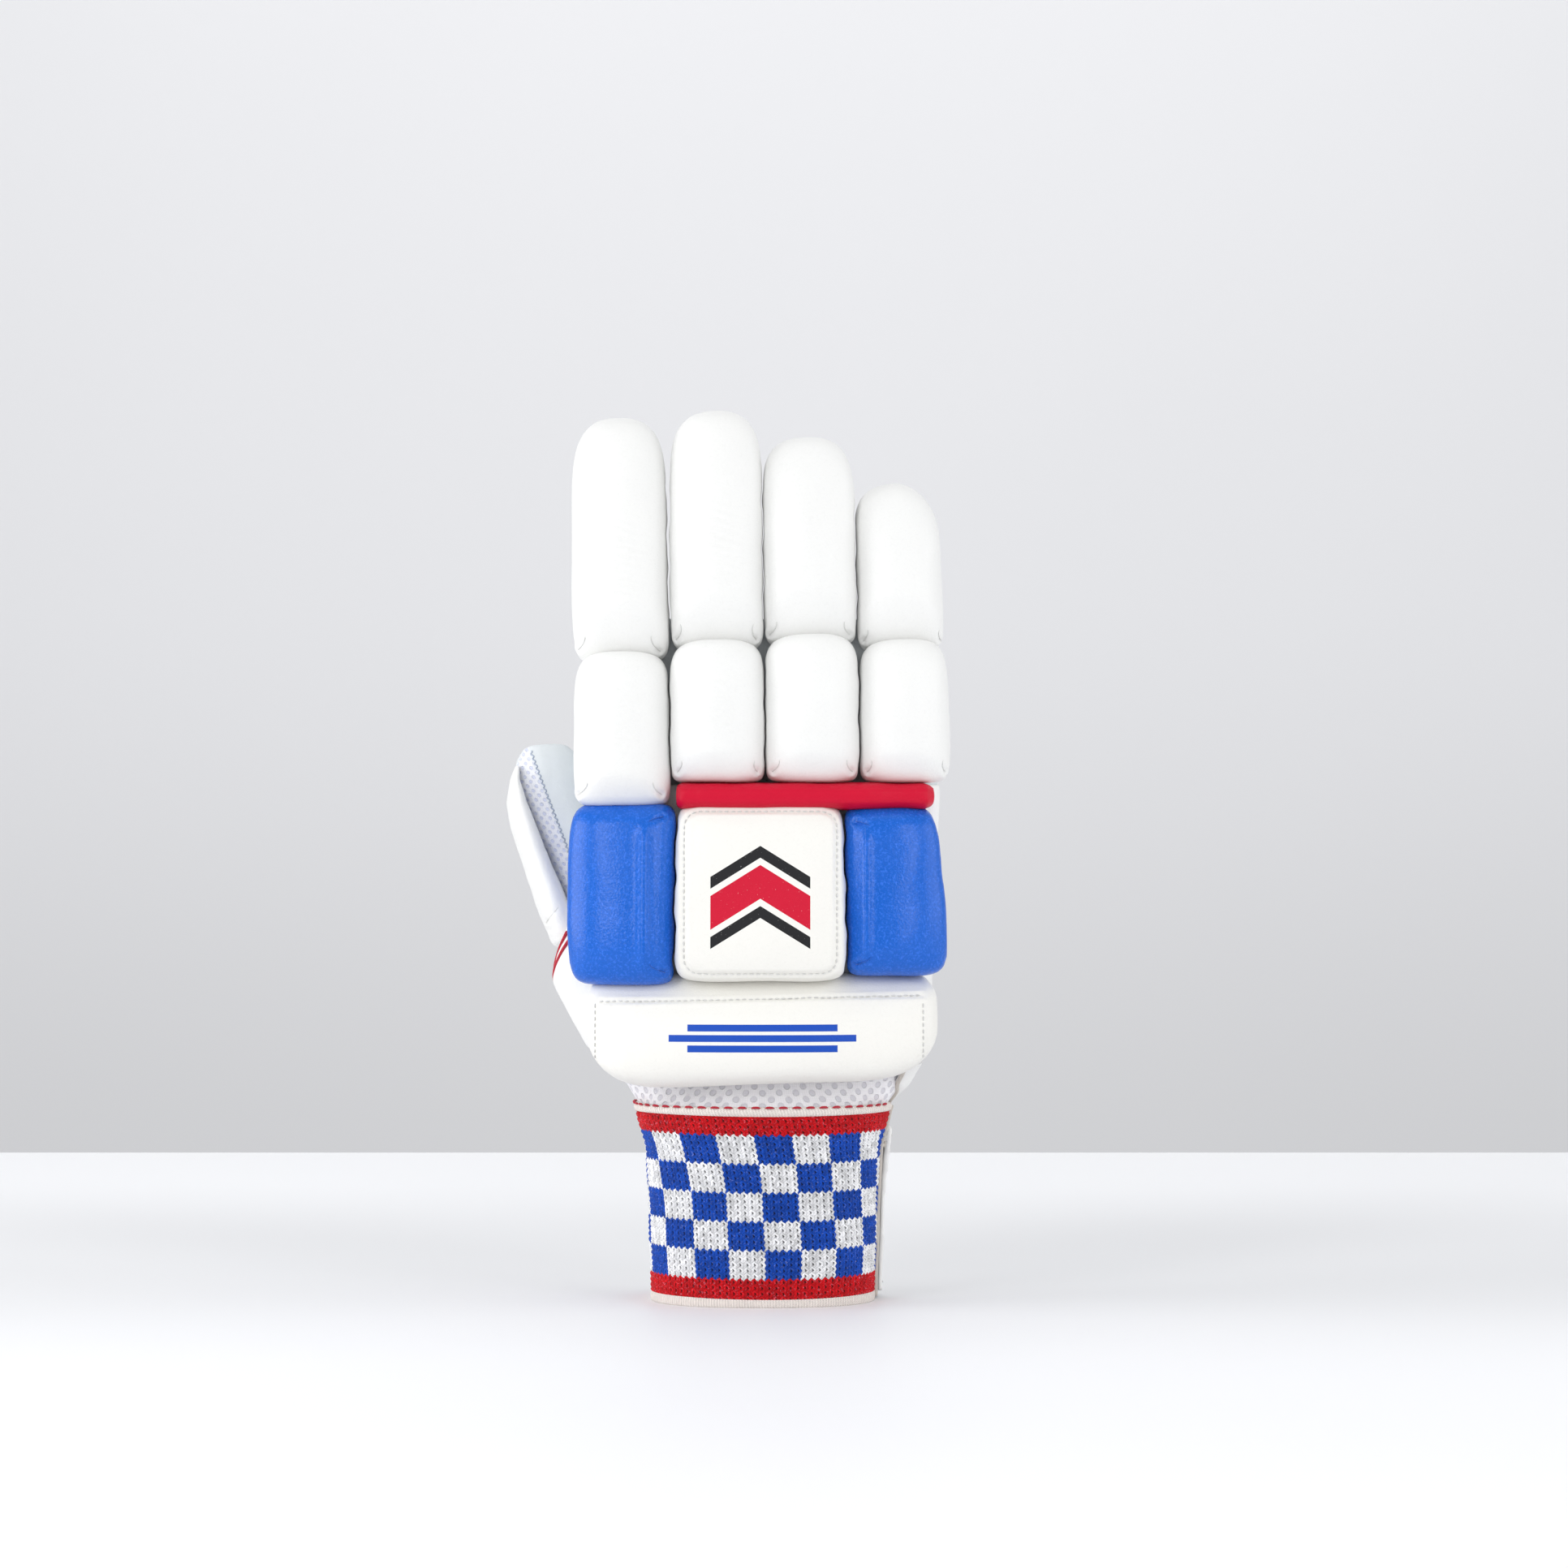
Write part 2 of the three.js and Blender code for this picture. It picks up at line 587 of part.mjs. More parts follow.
// The pads on the back of the hand. from and to are shares of the hand's width, and drop and head
// move the foot and the top, in shares of the pads' height.
const BACK_PADS = [
  { part: 'index', slot: 'blue_leather', from: 0.036, to: 0.272, drop: 0.02, head: 0.00, square: 3 },
  { part: 'centre', slot: 'white_leather', from: 0.278, to: 0.714, drop: 0.00, head: 0.00, square: 5 },
  { part: 'little', slot: 'blue_leather', from: 0.720, to: 0.925, drop: -0.03, head: -0.02, square: 3 },
];
const BACK_PAD_RISE = [
  { at: 0, wide: 0.88, thick: 0.62 },
  { at: 0.05, wide: 0.97, thick: 0.86 },
  { at: 0.16, wide: 1, thick: 0.98 },
  { at: 0.5, wide: 1, thick: 1 },
  { at: 0.84, wide: 0.99, thick: 0.98 },
  { at: 0.95, wide: 0.96, thick: 0.86 },
  { at: 1, wide: 0.86, thick: 0.62 },
];

const barFoot = () => KNUCKLE_HEIGHT + FINGERS[1].lowerFoot - ROLL_BREAK - BAR_HEIGHT;

// A pad whose back follows the hand. Each ring is level and runs across, then back along the front.
function backPad({ part, slot, from, to, drop, head, square }) {
  const left = HAND_OFFSET_X + (from - 0.5) * HAND_WIDTH;
  const right = HAND_OFFSET_X + (to - 0.5) * HAND_WIDTH;
  const height = barFoot() - ROLL_BREAK - BACK_PAD_FOOT;
  const foot = BACK_PAD_FOOT - drop * height;
  const top = BACK_PAD_FOOT + height * (1 + head);
  const rings = BACK_PAD_RISE.map(({ at, wide, thick }) => {
    const level = mix(foot, top, at);
    const centre = (left + right) / 2;
    const half = ((right - left - ROLL_GAP) / 2) * wide;
    const flat = { centre: new THREE.Vector3(), across: RIGHT, out: UP };
    const depth = BACK_PAD_THICK * thick;
    const reach = { left: half, right: half, front: depth / 2, back: depth / 2 };
    return oval(flat, reach, square, ROLL_SIDES + 4)
      .map(({ x, z }) => onHand(centre + x, level, 1.5 * CLEARANCE + depth / 2 + z));
  });
  return piece(`back_pad_${part}`, slot, skin(rings));
}

// The bar's rings stand across it, from the middle finger's column to the little finger's.
const BAR_ENDS = [
  { at: 0, size: 0.80 },
  { at: 0.02, size: 0.96 },
  { at: 0.25, size: 1 },
  { at: 0.5, size: 1 },
  { at: 0.75, size: 1 },
  { at: 0.97, size: 0.95 },
  { at: 1, size: 0.76 },
];

function knuckleBar() {
  const left = FINGERS[1].x - FINGERS[1].span / 2 + ROLL_GAP;
  const right = FINGERS[3].x + FINGERS[3].span * 0.12;
  const centre = barFoot() + BAR_HEIGHT / 2;
  const rings = BAR_ENDS.map(({ at, size }) => {
    const thick = BAR_THICK * size;
    const flat = { centre: new THREE.Vector3(), across: UP, out: RIGHT };
    const half = (BAR_HEIGHT / 2) * size;
    const reach = { left: half, right: half, front: thick / 2, back: thick / 2 };
    return oval(flat, reach, 2.6, 10)
      .map(({ x, z }) => onHand(mix(left, right, at), centre + z, CLEARANCE + thick / 2 + x));
  });
  return piece('knuckle_bar', 'red_leather', skin(rings));
}

// The guard's side view: rise is a share of its height and out a share of its thickness.
const GUARD_SIDE = [
  { rise: 0, out: 0.42 },
  { rise: 0.07, out: 0.82 },
  { rise: 0.24, out: 1 },
  { rise: 0.52, out: 1.02 },
  { rise: 0.74, out: 0.95 },
  { rise: 0.80, out: 0.84 },
  { rise: 1, out: 0.22 },
];
// Its front view: at runs from the thumb side, lift raises its foot and thick thins its ends.
const GUARD_SPAN = [
  { at: 0, lift: 0.34, thick: 0.62 },
  { at: 0.03, lift: 0.20, thick: 0.88 },
  { at: 0.08, lift: 0.06, thick: 1 },
  { at: 0.16, lift: 0.00, thick: 1 },
  { at: 0.34, lift: 0.02, thick: 1 },
  { at: 0.5, lift: 0.05, thick: 1 },
  { at: 0.66, lift: 0.06, thick: 1 },
  { at: 0.80, lift: 0.05, thick: 1 },
  { at: 0.91, lift: 0.09, thick: 1 },
  { at: 0.97, lift: 0.24, thick: 0.88 },
  { at: 1, lift: 0.42, thick: 0.62 },
];

// How far the guard reaches to each side, as a share of the hand's width.
const GUARD_REACH = { left: 0.43, right: 0.415 };

// The guard hangs straight down in front of the narrow wrist, so it keeps the width of its top.
function guardSection(height) {
  const { left, right } = handSection(GUARD_TOP);
  return { ...handSection(height), left, right };
}

function wristGuard() {
  const left = HAND_OFFSET_X - GUARD_REACH.left * HAND_WIDTH;
  const right = HAND_OFFSET_X + GUARD_REACH.right * HAND_WIDTH;
  const rings = GUARD_SPAN.map(({ at, lift, thick }) => {
    const foot = GUARD_FOOT + lift * GUARD_HEIGHT;
    const x = mix(left, right, at);
    const point = (rise, out) => {
      const height = mix(foot, GUARD_TOP, rise);
      return onHand(x, height, out, guardSection(height));
    };
    const front = GUARD_SIDE.map(({ rise, out }) => point(rise, 2 * CLEARANCE + out * thick * GUARD_THICK));
    return [...front, ...[1, 0.66, 0.33, 0].map((rise) => point(rise, 2 * CLEARANCE))];
  });
  return piece('wrist_guard', 'white_leather', skin(rings));
}

// The piping's path down the thumb side: turn is an angle on the hand's oval from the thumb side
// towards the front, and at is the share of the height from the cuff to the knuckles.
const PIPING_PATH = [
  { turn: 24, at: 0.56 },
  { turn: 12, at: 0.49 },
  { turn: 3, at: 0.41 },
  { turn: -6, at: 0.31 },
];

function pipingLine(name, shiftDeg) {
  const points = PIPING_PATH.map(({ turn, at }) => {
    const height = mix(CUFF_HEIGHT, KNUCKLE_HEIGHT, at);
    const { left, front, back, square, shiftX, shiftY } = handSection(height);
    const angle = radians(turn + shiftDeg);
    const lift = PIPING_RADIUS + 3 * CLEARANCE;
    const depth = angle < 0 ? back : front;
    return new THREE.Vector3(
      shiftX - (left + lift) * Math.cos(angle) ** (2 / square),
      shiftY - (depth + lift) * signedPower(Math.sin(angle), 2 / square),
      height,
    );
  });
  const line = new THREE.Shape().absarc(0, 0, PIPING_RADIUS, 0, 2 * Math.PI);
  const extrudePath = new THREE.CatmullRomCurve3(points);
  const tube = new THREE.ExtrudeGeometry(line, { steps: 14, curveSegments: 6, extrudePath });
  return piece(name, 'piping', tube);
}

const glove = new THREE.Group();
glove.add(
  groupOf(knitBand(), bandBinding(), wristStrap()),
  handPanels(),
  groupOf(BACK_PADS.map(backPad), knuckleBar(), wristGuard()),
  groupOf(FINGERS.map(fingerPieces)),
  thumbPieces(),
  groupOf(pipingLine('piping_front', 0), pipingLine('piping_rear', -PIPING_GAP_DEG)),
);

const box = new THREE.Box3().setFromObject(glove, true);
const centre = box.getCenter(new THREE.Vector3());
glove.position.set(-centre.x, -centre.y, -box.min.z);

export default glove;
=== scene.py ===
import math

import bmesh
import bpy
import numpy as np
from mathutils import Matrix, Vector
from mathutils.bvhtree import BVHTree


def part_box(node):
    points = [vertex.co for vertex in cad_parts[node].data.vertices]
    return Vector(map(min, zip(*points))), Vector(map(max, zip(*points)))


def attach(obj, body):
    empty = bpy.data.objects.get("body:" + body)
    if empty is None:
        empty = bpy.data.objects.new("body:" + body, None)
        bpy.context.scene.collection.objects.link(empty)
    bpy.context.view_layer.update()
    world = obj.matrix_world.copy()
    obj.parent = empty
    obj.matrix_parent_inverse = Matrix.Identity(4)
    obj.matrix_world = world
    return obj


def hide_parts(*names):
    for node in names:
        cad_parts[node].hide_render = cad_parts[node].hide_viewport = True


bl_info = {
    "name": "Batting Glove",
    "version": (1, 0, 0),
    "blender": (4, 5, 0),
    "location": "3D View > Sidebar > Glove",
    "description": "Builds a padded cricket batting glove, piece by piece, round its fixed solids",
    "category": "Add Mesh",
}

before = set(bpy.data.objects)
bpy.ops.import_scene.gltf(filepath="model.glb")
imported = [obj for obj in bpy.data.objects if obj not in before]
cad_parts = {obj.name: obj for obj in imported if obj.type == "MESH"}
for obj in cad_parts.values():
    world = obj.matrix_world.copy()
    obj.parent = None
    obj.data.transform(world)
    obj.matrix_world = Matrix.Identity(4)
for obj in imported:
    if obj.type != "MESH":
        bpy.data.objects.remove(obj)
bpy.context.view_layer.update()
MM = 0.001
FINGERS = ("index", "middle", "ring", "little")
UP = np.array([0.0, 0.0, 1.0])
FRONT_VIEW = (0.0, 1.0, 0.0)
BACK_VIEW = (0.0, -1.0, 0.0)
SEAM_START = 0.3

# The prints: a red chevron between two black ones, three level bars and the strap's line
PRINT_SLANT = 0.62
PRINT_RISE = 5.0 * MM
PRINT_HALF_WIDTH = 16 * MM
PRINT_RED_HALF = 5.4 * MM
PRINT_BLACK_AT = 9.6 * MM
PRINT_BLACK_HALF = 1.9 * MM
PRINT_BLACK = (0.012, 0.012, 0.014)
BAR_PITCH = 3.3 * MM
BAR_HALF = 1.1 * MM
BAR_HALF_WIDTH = 30 * MM
STRAP_LINE_AT = 2.2 * MM
STRAP_LINE_HALF = 0.35 * MM

# The knitted cuff: its ends as angles from the front, its relief and its rolled edges
BAND_FROM = -235.5
BAND_TO = 89.5
BAND_THICK = 2.5 * MM
KNIT_RISE = 1.4 * MM
KNIT_ZIG = 0.42
KNIT_LEAN = 1.1
CHECK_ROWS = 5
CHECK_SLANT = 4.6 * MM
CHECK_START = 3.3 * MM
CREAM_FOOT = 2.9 * MM
CREAM_HEAD = 2.8 * MM
THREAD_TRIM = 9

# The heel's flap: its front edge across, in millimetres at each height, and the turn it sweeps in degrees
FLAP_LEVELS = (50, 53.5, 56.3, 59.9, 63.0, 71.2, 78)
FLAP_EDGE = (49.6, 49.9, 50.9, 52.5, 53.5, 56.2, 58.5)
FLAP_SWEEP = (50, 112)
FLAP_SPAN = (51 * MM, 77 * MM)
FLAP_ROWS = 30
FLAP_COLUMNS = 22

# The hand and the thumb
KNUCKLE_SHIFT = 2.6 * MM
PATCH_PLACE = np.array([2, 0, 4]) * MM
PATCH_INSET = np.array([13.5, 0, 17.5]) * MM
PATCH_CORNER = 17 * MM
PATCH_RISE = 1.0 * MM
THENAR = (-51 * MM, 6 * MM, 106 * MM)
THENAR_REACH = (12 * MM, 14 * MM, 12 * MM)
THENAR_SWELL = 1.8 * MM
STALL_LAP = 9 * MM
STRIP_TOP = (-61.7 * MM, 170.9 * MM)
STRIP_SLANT = 0.39
STRIP_HOLES = (3.0 * MM, 1.5 * MM, 1.25 * MM)
FLARE = 6.0 * MM
FLARE_LEVELS = (142 * MM, 170 * MM)
FLARE_SIDES = (-44 * MM, -62 * MM)

# The thumb roll's two sides across, in millimetres at each height
ROLL_LEVELS = (113, 117.7, 127.7, 141.9, 152.3, 161.9, 169.6, 173)
ROLL_LEFT = (-57.5, -59.4, -63.4, -67.9, -71.2, -73.1, -72.2, -71)
ROLL_RIGHT = (-50.5, -48.5, -50, -56.4, -61, -65.2, -67.5, -67.5)

# The stage: each light's name, place, target, size and power
# How far a painted shadow band darkens the table
TABLE_PAINTED_SHADE = 0.14
ROOM_COLOUR = (0.90, 0.91, 0.93, 1.0)
ROOM_LIGHT = 0.60
LIGHTS = (
    ("key", (-0.95, -1.35, 0.95), (0.0, 0.0, 0.12), (0.45, 1.5), 7.7),
    ("fill", (1.1, -1.3, 0.8), (0.0, 0.0, 0.14), (0.45, 1.4), 5.8),
    ("left", (-1.1, -0.15, 0.45), (0.0, 0.0, 0.16), (0.8, 0.8), 6.0),
    ("right", (1.1, -0.15, 0.45), (0.0, 0.0, 0.16), (0.8, 0.8), 2.8),
    ("over", (0.0, 0.1, 1.7), (0.0, 0.0, 0.0), (1.4, 1.4), 3.4),
    ("front", (0.0, -0.95, 0.5), (0.0, -0.5, 0.0), (1.4, 0.3), 0.6),
    ("wall", (0.0, 1.5, 1.9), (0.0, 2.6, 0.9), (2.0, 2.0), 14.2),
)


# Sizes and colours that a user may change

def length(name, description, default):
    """A length in metres, shown in the scene's unit."""
    return bpy.props.FloatProperty(
        name=name, description=description, default=default, min=0.0, precision=5,
        unit="LENGTH", subtype="DISTANCE")


def tint(name, description, default):
    """A linear colour."""
    return bpy.props.FloatVectorProperty(
        name=name, description=description, default=default, size=3, min=0.0, max=1.0, subtype="COLOR")


class GLOVE_PG_leather(bpy.types.PropertyGroup):
    """The coated leathers of the pads and the soft leather of the palm."""
    white: tint("White", "Coated leather of the rolls, the guard and the strap", (0.86, 0.86, 0.845))
    warm: tint("Warm white", "Coated leather of the pads that carry a print", (0.87, 0.858, 0.815))
    blue: tint("Blue", "Coated leather of the two outer back pads", (0.002, 0.112, 0.570))
    red: tint("Red", "Coated leather of the knuckle bar", (0.610, 0.002, 0.030))
    palm: tint("Palm", "Soft leather of the palm and the stalls", (0.700, 0.735, 0.755))
    pebble: length("Pebble", "Width of one pebble in the grain of the coated leather", 0.75 * MM)
    relief: length("Relief", "Depth of the grain", 0.09 * MM)
    voxel: length("Cell", "Size of a cell of the padded pieces' mesh", 0.9 * MM)


class GLOVE_PG_knit(bpy.types.PropertyGroup):
    """The knitted cuff and its checks."""
    wale: length("Wale", "Width of one knitted stitch", 2.4 * MM)
    course: length("Course", "Height of one knitted stitch", 1.85 * MM)
    loft: length("Loft", "How far a stitch stands out of the band", 0.8 * MM)
    check_stitches: bpy.props.IntProperty(
        name="Stitches", description="Stitches to a check each way", default=5, min=1)
    checks_foot: length("Checks' foot", "Height at which the lowest row of checks starts", 9.8 * MM)
    blue: tint("Blue", "Blue yarn", (0.005, 0.070, 0.470))
    white: tint("White", "White yarn", (0.95, 0.95, 0.97))
    red: tint("Red", "Red yarn", (0.640, 0.002, 0.008))
    cream: tint("Cream", "Yarn of the rolled edges", (0.85, 0.78, 0.73))


class GLOVE_PG_cloth(bpy.types.PropertyGroup):
    """The air mesh, the tape, the thread and the piping."""
    mesh: tint("Mesh", "Air mesh of the wrist", (0.92, 0.91, 0.94))
    hole: tint("Hole", "Shade inside the mesh's holes", (0.68, 0.67, 0.72))
    strip: tint("Strip", "Air mesh beside the thumb's roll", (0.88, 0.89, 0.94))
    strip_hole: tint("Strip's hole", "Shade inside the holes of the thumb's mesh", (0.66, 0.69, 0.84))
    hole_pitch: length("Hole pitch", "Distance between two holes in a row", 5.2 * MM)
    hole_rise: length("Hole rise", "Height of one row of holes", 2.05 * MM)
    hole_width: length("Hole width", "Width of one hole", 2.1 * MM)
    tape: tint("Tape", "Binding tape", (0.66, 0.61, 0.55))
    thread: tint("Thread", "White sewing thread", (0.80, 0.80, 0.78))
    overlock: tint("Overlock", "Grey-blue thread of the overlocked seam", (0.44, 0.50, 0.62))
    piping: tint("Piping", "Red piping and red thread", (0.50, 0.010, 0.030))
    stitch: length("Stitch", "Length of one sewn stitch", 2.1 * MM)


class GLOVE_PG_stage(bpy.types.PropertyGroup):
    """The table, the backdrop and the camera."""
    camera_x: length("Camera across", "The camera's place across", 19.2 * MM)
    camera_back: length("Camera distance", "The camera's distance in front of the glove", 1598.7 * MM)
    camera_z: length("Camera height", "The camera's height over the table", 168 * MM)
    lens: bpy.props.FloatProperty(name="Lens", description="Focal length in millimetres", default=112.5)
    table_back: length("Table's edge", "How far the table reaches behind the glove", 635 * MM)
    table_front: length("Table's front", "How far the table reaches in front of the glove", 1300 * MM)
    table_half: length("Table's half width", "Half the table's width", 1500 * MM)
    backdrop: length("Backdrop", "Distance of the backdrop behind the glove", 2600 * MM)
    pale: tint("Table", "Colour of the table", (0.935, 0.94, 0.955))
    grey: tint("Backdrop", "Colour of the backdrop", (0.91, 0.91, 0.925))
    # Painted shade: the backdrop's colour near the table's level
    painted_foot_shade: tint("Backdrop's foot", "Colour of the backdrop at the level of the table", (0.80, 0.80, 0.81))


# Shader maths

def socket_of(sockets, key):
    """A socket by its place, its identifier or its name."""
    if isinstance(key, int):
        return sockets[key]
    for field in ("identifier", "name"):
        for socket in sockets:
            if getattr(socket, field) == key:
                return socket
    raise KeyError(f"no socket {key!r}")


class Wire:
    """A shader socket on which Python arithmetic adds Math nodes."""

    def __init__(self, web, socket):
        self.web = web
        self.socket = socket

    def maths(self, operation, *values):
        """One Math node with these values on its sockets."""
        return self.web.add("ShaderNodeMath", {"operation": operation}, dict(enumerate(values)))

    def __add__(self, other):
        return self.maths("ADD", self, other)

    __radd__ = __add__

    def __sub__(self, other):
        return self.maths("SUBTRACT", self, other)

    def __rsub__(self, other):
        return self.maths("SUBTRACT", other, self)

    def __mul__(self, other):
        return self.maths("MULTIPLY", self, other)

    __rmul__ = __mul__

    def __truediv__(self, other):
        return self.maths("DIVIDE", self, other)

    def __pow__(self, power):
        return self.maths("POWER", self, power)

    def __abs__(self):
        return self.maths("ABSOLUTE", self)

    def __gt__(self, other):
        return self.maths("GREATER_THAN", self, other)

    def __lt__(self, other):
        return self.maths("LESS_THAN", self, other)

    def floor(self):
        """The whole number below."""
        return self.maths("FLOOR", self)

    def fract(self):
        """What is left over the whole number below."""
        return self.maths("FRACT", self)

    def sine(self):
        """The sine."""
        return self.maths("SINE", self)

    def most(self, other):
        """The larger of two."""
        return self.maths("MAXIMUM", self, other)

    def step(self, low, high):
        """A smooth step from 0 at low to 1 at high, or down where low is the larger."""
        return self.web.add(
            "ShaderNodeMapRange", {"interpolation_type": "SMOOTHSTEP"},
            {"Value": self, "From Min": low, "From Max": high, "To Min": 0.0, "To Max": 1.0})


class Web:
    """The node tree of one material."""

    def __init__(self, name):
        self.material = bpy.data.materials.new(name)
        self.material.use_nodes = True
        self.tree = self.material.node_tree
        self.tree.nodes.clear()

    def add(self, kind, settings=None, sockets=None, output=0):
        """Any node: its type, its settings, its sockets' values or links, and the output that is used."""
        node = self.tree.nodes.new(kind)
        for key, value in (settings or {}).items():
            setattr(node, key, value)
        for key, value in (sockets or {}).items():
            self.feed(socket_of(node.inputs, key), value)
        return Wire(self, socket_of(node.outputs, output))

    def feed(self, socket, value):
        """Links a wire to a socket, or sets the socket's own value."""
        if isinstance(value, Wire):
            self.tree.links.new(value.socket, socket)
        elif socket.type == "RGBA" and len(value) == 3:
            socket.default_value = (*value, 1.0)
        else:
            socket.default_value = value

    def place(self):
        """The place on the glove, in metres."""
        return self.add("ShaderNodeTexCoord", output="Object")

    def axes(self, vector):
        """The three numbers of a vector."""
        first = self.add("ShaderNodeSeparateXYZ", sockets={0: vector})
        return [Wire(self, socket) for socket in first.socket.node.outputs]

    def field(self, name):
        """A number or vector that the mesh holds at each point."""
        return self.add("ShaderNodeAttribute", {"attribute_name": name}, output="Vector")

    def number(self, name):
        """A number that the mesh holds at each point."""
        return self.add("ShaderNodeAttribute", {"attribute_name": name}, output="Fac")

    def noise(self, vector, size, detail=2.0, rough=0.5):
        """Smooth noise from 0 to 1 with features of that size in the vector's unit."""
        sockets = {"Vector": vector, "Scale": 1.0 / size, "Detail": detail, "Roughness": rough}
        return self.add("ShaderNodeTexNoise", sockets=sockets)

    def cells(self, vector, size):
        """The distance to the middle of the nearest cell."""
        return self.add(
            "ShaderNodeTexVoronoi", sockets={"Vector": vector, "Scale": 1.0 / size}, output="Distance")

    def mix(self, factor, first, second):
        """One colour painted over another."""
        return self.add(
            "ShaderNodeMix", {"data_type": "RGBA"},
            {"Factor_Float": factor, "A_Color": first, "B_Color": second}, output="Result_Color")

    def shade(self, colour, factor):
        """A colour times a number."""
        return self.add("ShaderNodeVectorMath", {"operation": "SCALE"}, {0: colour, "Scale": factor})

    def finish(self, colour, roughness, height=None, depth=0.0, sheen=0.0, specular=0.5):
        """The surface itself. Its sheen and its specular level are the same all over."""
        sockets = {"Base Color": colour, "Roughness": roughness, "Sheen Weight": sheen,
                   "Specular IOR Level": specular}
        if height is not None:
            bump = {"Strength": 1.0, "Distance": depth, "Height": height}
            sockets["Normal"] = self.add("ShaderNodeBump", sockets=bump)
        shader = self.add("ShaderNodeBsdfPrincipled", sockets=sockets)
        end = self.tree.nodes.new("ShaderNodeOutputMaterial")
        self.tree.links.new(shader.socket, end.inputs["Surface"])
        return self.material


def settings():
    """The property groups by their short names."""
    scene = bpy.context.scene
    return scene.glove_leather, scene.glove_knit, scene.glove_cloth, scene.glove_stage


# Materials

def coated_surface(web, colour, roughness=0.36, sparkle=0.0, relief_share=1.0):
    """Coated leather: fine pebbled grain, faint creases, and a gloss that changes from place to place. Where
    sparkle is given, painted glints of light are mixed into the colour.
    """
    leather = settings()[0]
    place = web.place()
    pebbles = web.cells(place, leather.pebble)
    fine = web.noise(place, leather.pebble * 0.45, 2.0)
    broad = web.noise(place, 26 * MM, 3.0)
    crease = web.noise(place, 8 * MM, 3.0, 0.5)
    # Where sparkle is given, the tone darkens between the painted glints.
    tone = 0.975 + broad * 0.04 - pebbles.step(0.55, 0.95) * 0.02 - sparkle * fine.step(0.5, 0.3) * 0.25
    painted = web.shade(tuple(colour), tone)
    # Painted glints: light flecks mixed into the colour stand in for light sparkling off the grain.
    if sparkle:
        light = tuple(min(1.0, channel * 1.6 + 0.05) for channel in colour)
        painted = web.mix(fine.step(0.60, 0.80) * sparkle, painted, light)
        fleck = web.noise(place, 0.9 * MM, 3.0, 0.75)
        painted = web.mix(fleck.step(0.48, 0.66) * sparkle, painted, light)
    height = (1.0 - pebbles) * 0.5 + fine * 0.25 + crease * 0.8
    gloss = roughness + (broad - 0.5) * 0.10 + fine * 0.06
    return painted, gloss, height, leather.relief * relief_share


def coated_leather(name, colour, roughness=0.36, sparkle=0.0, relief_share=1.0, specular=0.3):
    """The coated leather of a pad, in one colour."""
    web = Web(name)
    surface = coated_surface(web, colour, roughness, sparkle, relief_share)
    return web.finish(*surface, specular=specular)


def soft_leather(name, colour):
    """The soft leather of the palm: matt, with pores and fine creases."""
    web = Web(name)
    place = web.place()
    broad = web.noise(place, 22 * MM, 3.0)
    pores = web.cells(place, 1.1 * MM)
    crease = web.noise(place, 4.5 * MM, 4.0, 0.6)
    tone = 0.90 + broad * 0.12 + crease * 0.05 - pores.step(0.5, 0.1) * 0.04
    height = pores * 0.5 + crease * 1.8
    return web.finish(web.shade(tuple(colour), tone), 0.62 + broad * 0.1, height, 0.12 * MM, sheen=0.08)


def mesh_pattern(across, up, pitch, rise, width):
    """Round holes in staggered rows: 1 in a hole and 0 between."""
    row = (up / rise).floor()
    shift = (row * 0.5).fract()
    beside = ((across / pitch + shift).fract() - 0.5) * pitch
    above = ((up / rise).fract() - 0.5) * rise
    reach = (beside * beside + above * above) ** 0.5
    return reach.step(width * 0.56, width * 0.36)


def air_mesh_surface(web, colour, hole_shade_colour, coords, pitch, rise, width):
    """Air mesh: staggered round holes in a fine knitted cloth, with painted shade inside the holes."""
    across, up, _ = web.axes(coords)
    holes = mesh_pattern(across, up, pitch, rise, width)
    rib = ((up / (0.55 * MM)) * math.tau).sine() * 0.5 + 0.5
    loop = ((across / (0.7 * MM)) * math.tau).sine() * 0.5 + 0.5
    cloth = web.shade(colour, 0.92 + rib * loop * 0.10)
    painted = web.mix(holes, cloth, hole_shade_colour)
    return painted, (1.0 - holes) + rib * loop * 0.18


def hand_cloth(name):
    """The back of the hand: white leather, and air mesh where the cloth mask says."""
    leather, _, cloth, _ = settings()
    web = Web(name)
    painted, gloss, height, _ = coated_surface(web, leather.white)
    mask = web.number("mesh_mask")
    mesh, mesh_height = air_mesh_surface(
        web, tuple(cloth.mesh), tuple(cloth.hole), web.field("cloth"),
        cloth.hole_pitch, cloth.hole_rise, cloth.hole_width)
    colour = web.mix(mask, painted, mesh)
    relief = height * 0.09 * (1.0 - mask) + mesh_height * 0.28 * mask
    return web.finish(colour, gloss + mask * 0.40, relief, 1.0 * MM)


def thumb_cloth(name):
    """The thumb's stall: soft leather with a strip of air mesh beside the padded roll."""
    leather, _, cloth, _ = settings()
    web = Web(name)
    place = web.place()
    broad = web.noise(place, 22 * MM, 3.0)
    crease = web.noise(place, 4.5 * MM, 4.0, 0.6)
    palm = web.shade(tuple(leather.palm), 0.97 + broad * 0.10 + crease * 0.05)
    mask = web.number("mesh_mask")
    mesh, mesh_height = air_mesh_surface(
        web, tuple(cloth.strip), tuple(cloth.strip_hole), web.field("cloth"), *STRIP_HOLES)
    relief = crease * 0.22 * (1.0 - mask) + mesh_height * 0.20 * mask
    return web.finish(web.mix(mask, palm, mesh), 0.62 + broad * 0.1, relief, 1.0 * MM)


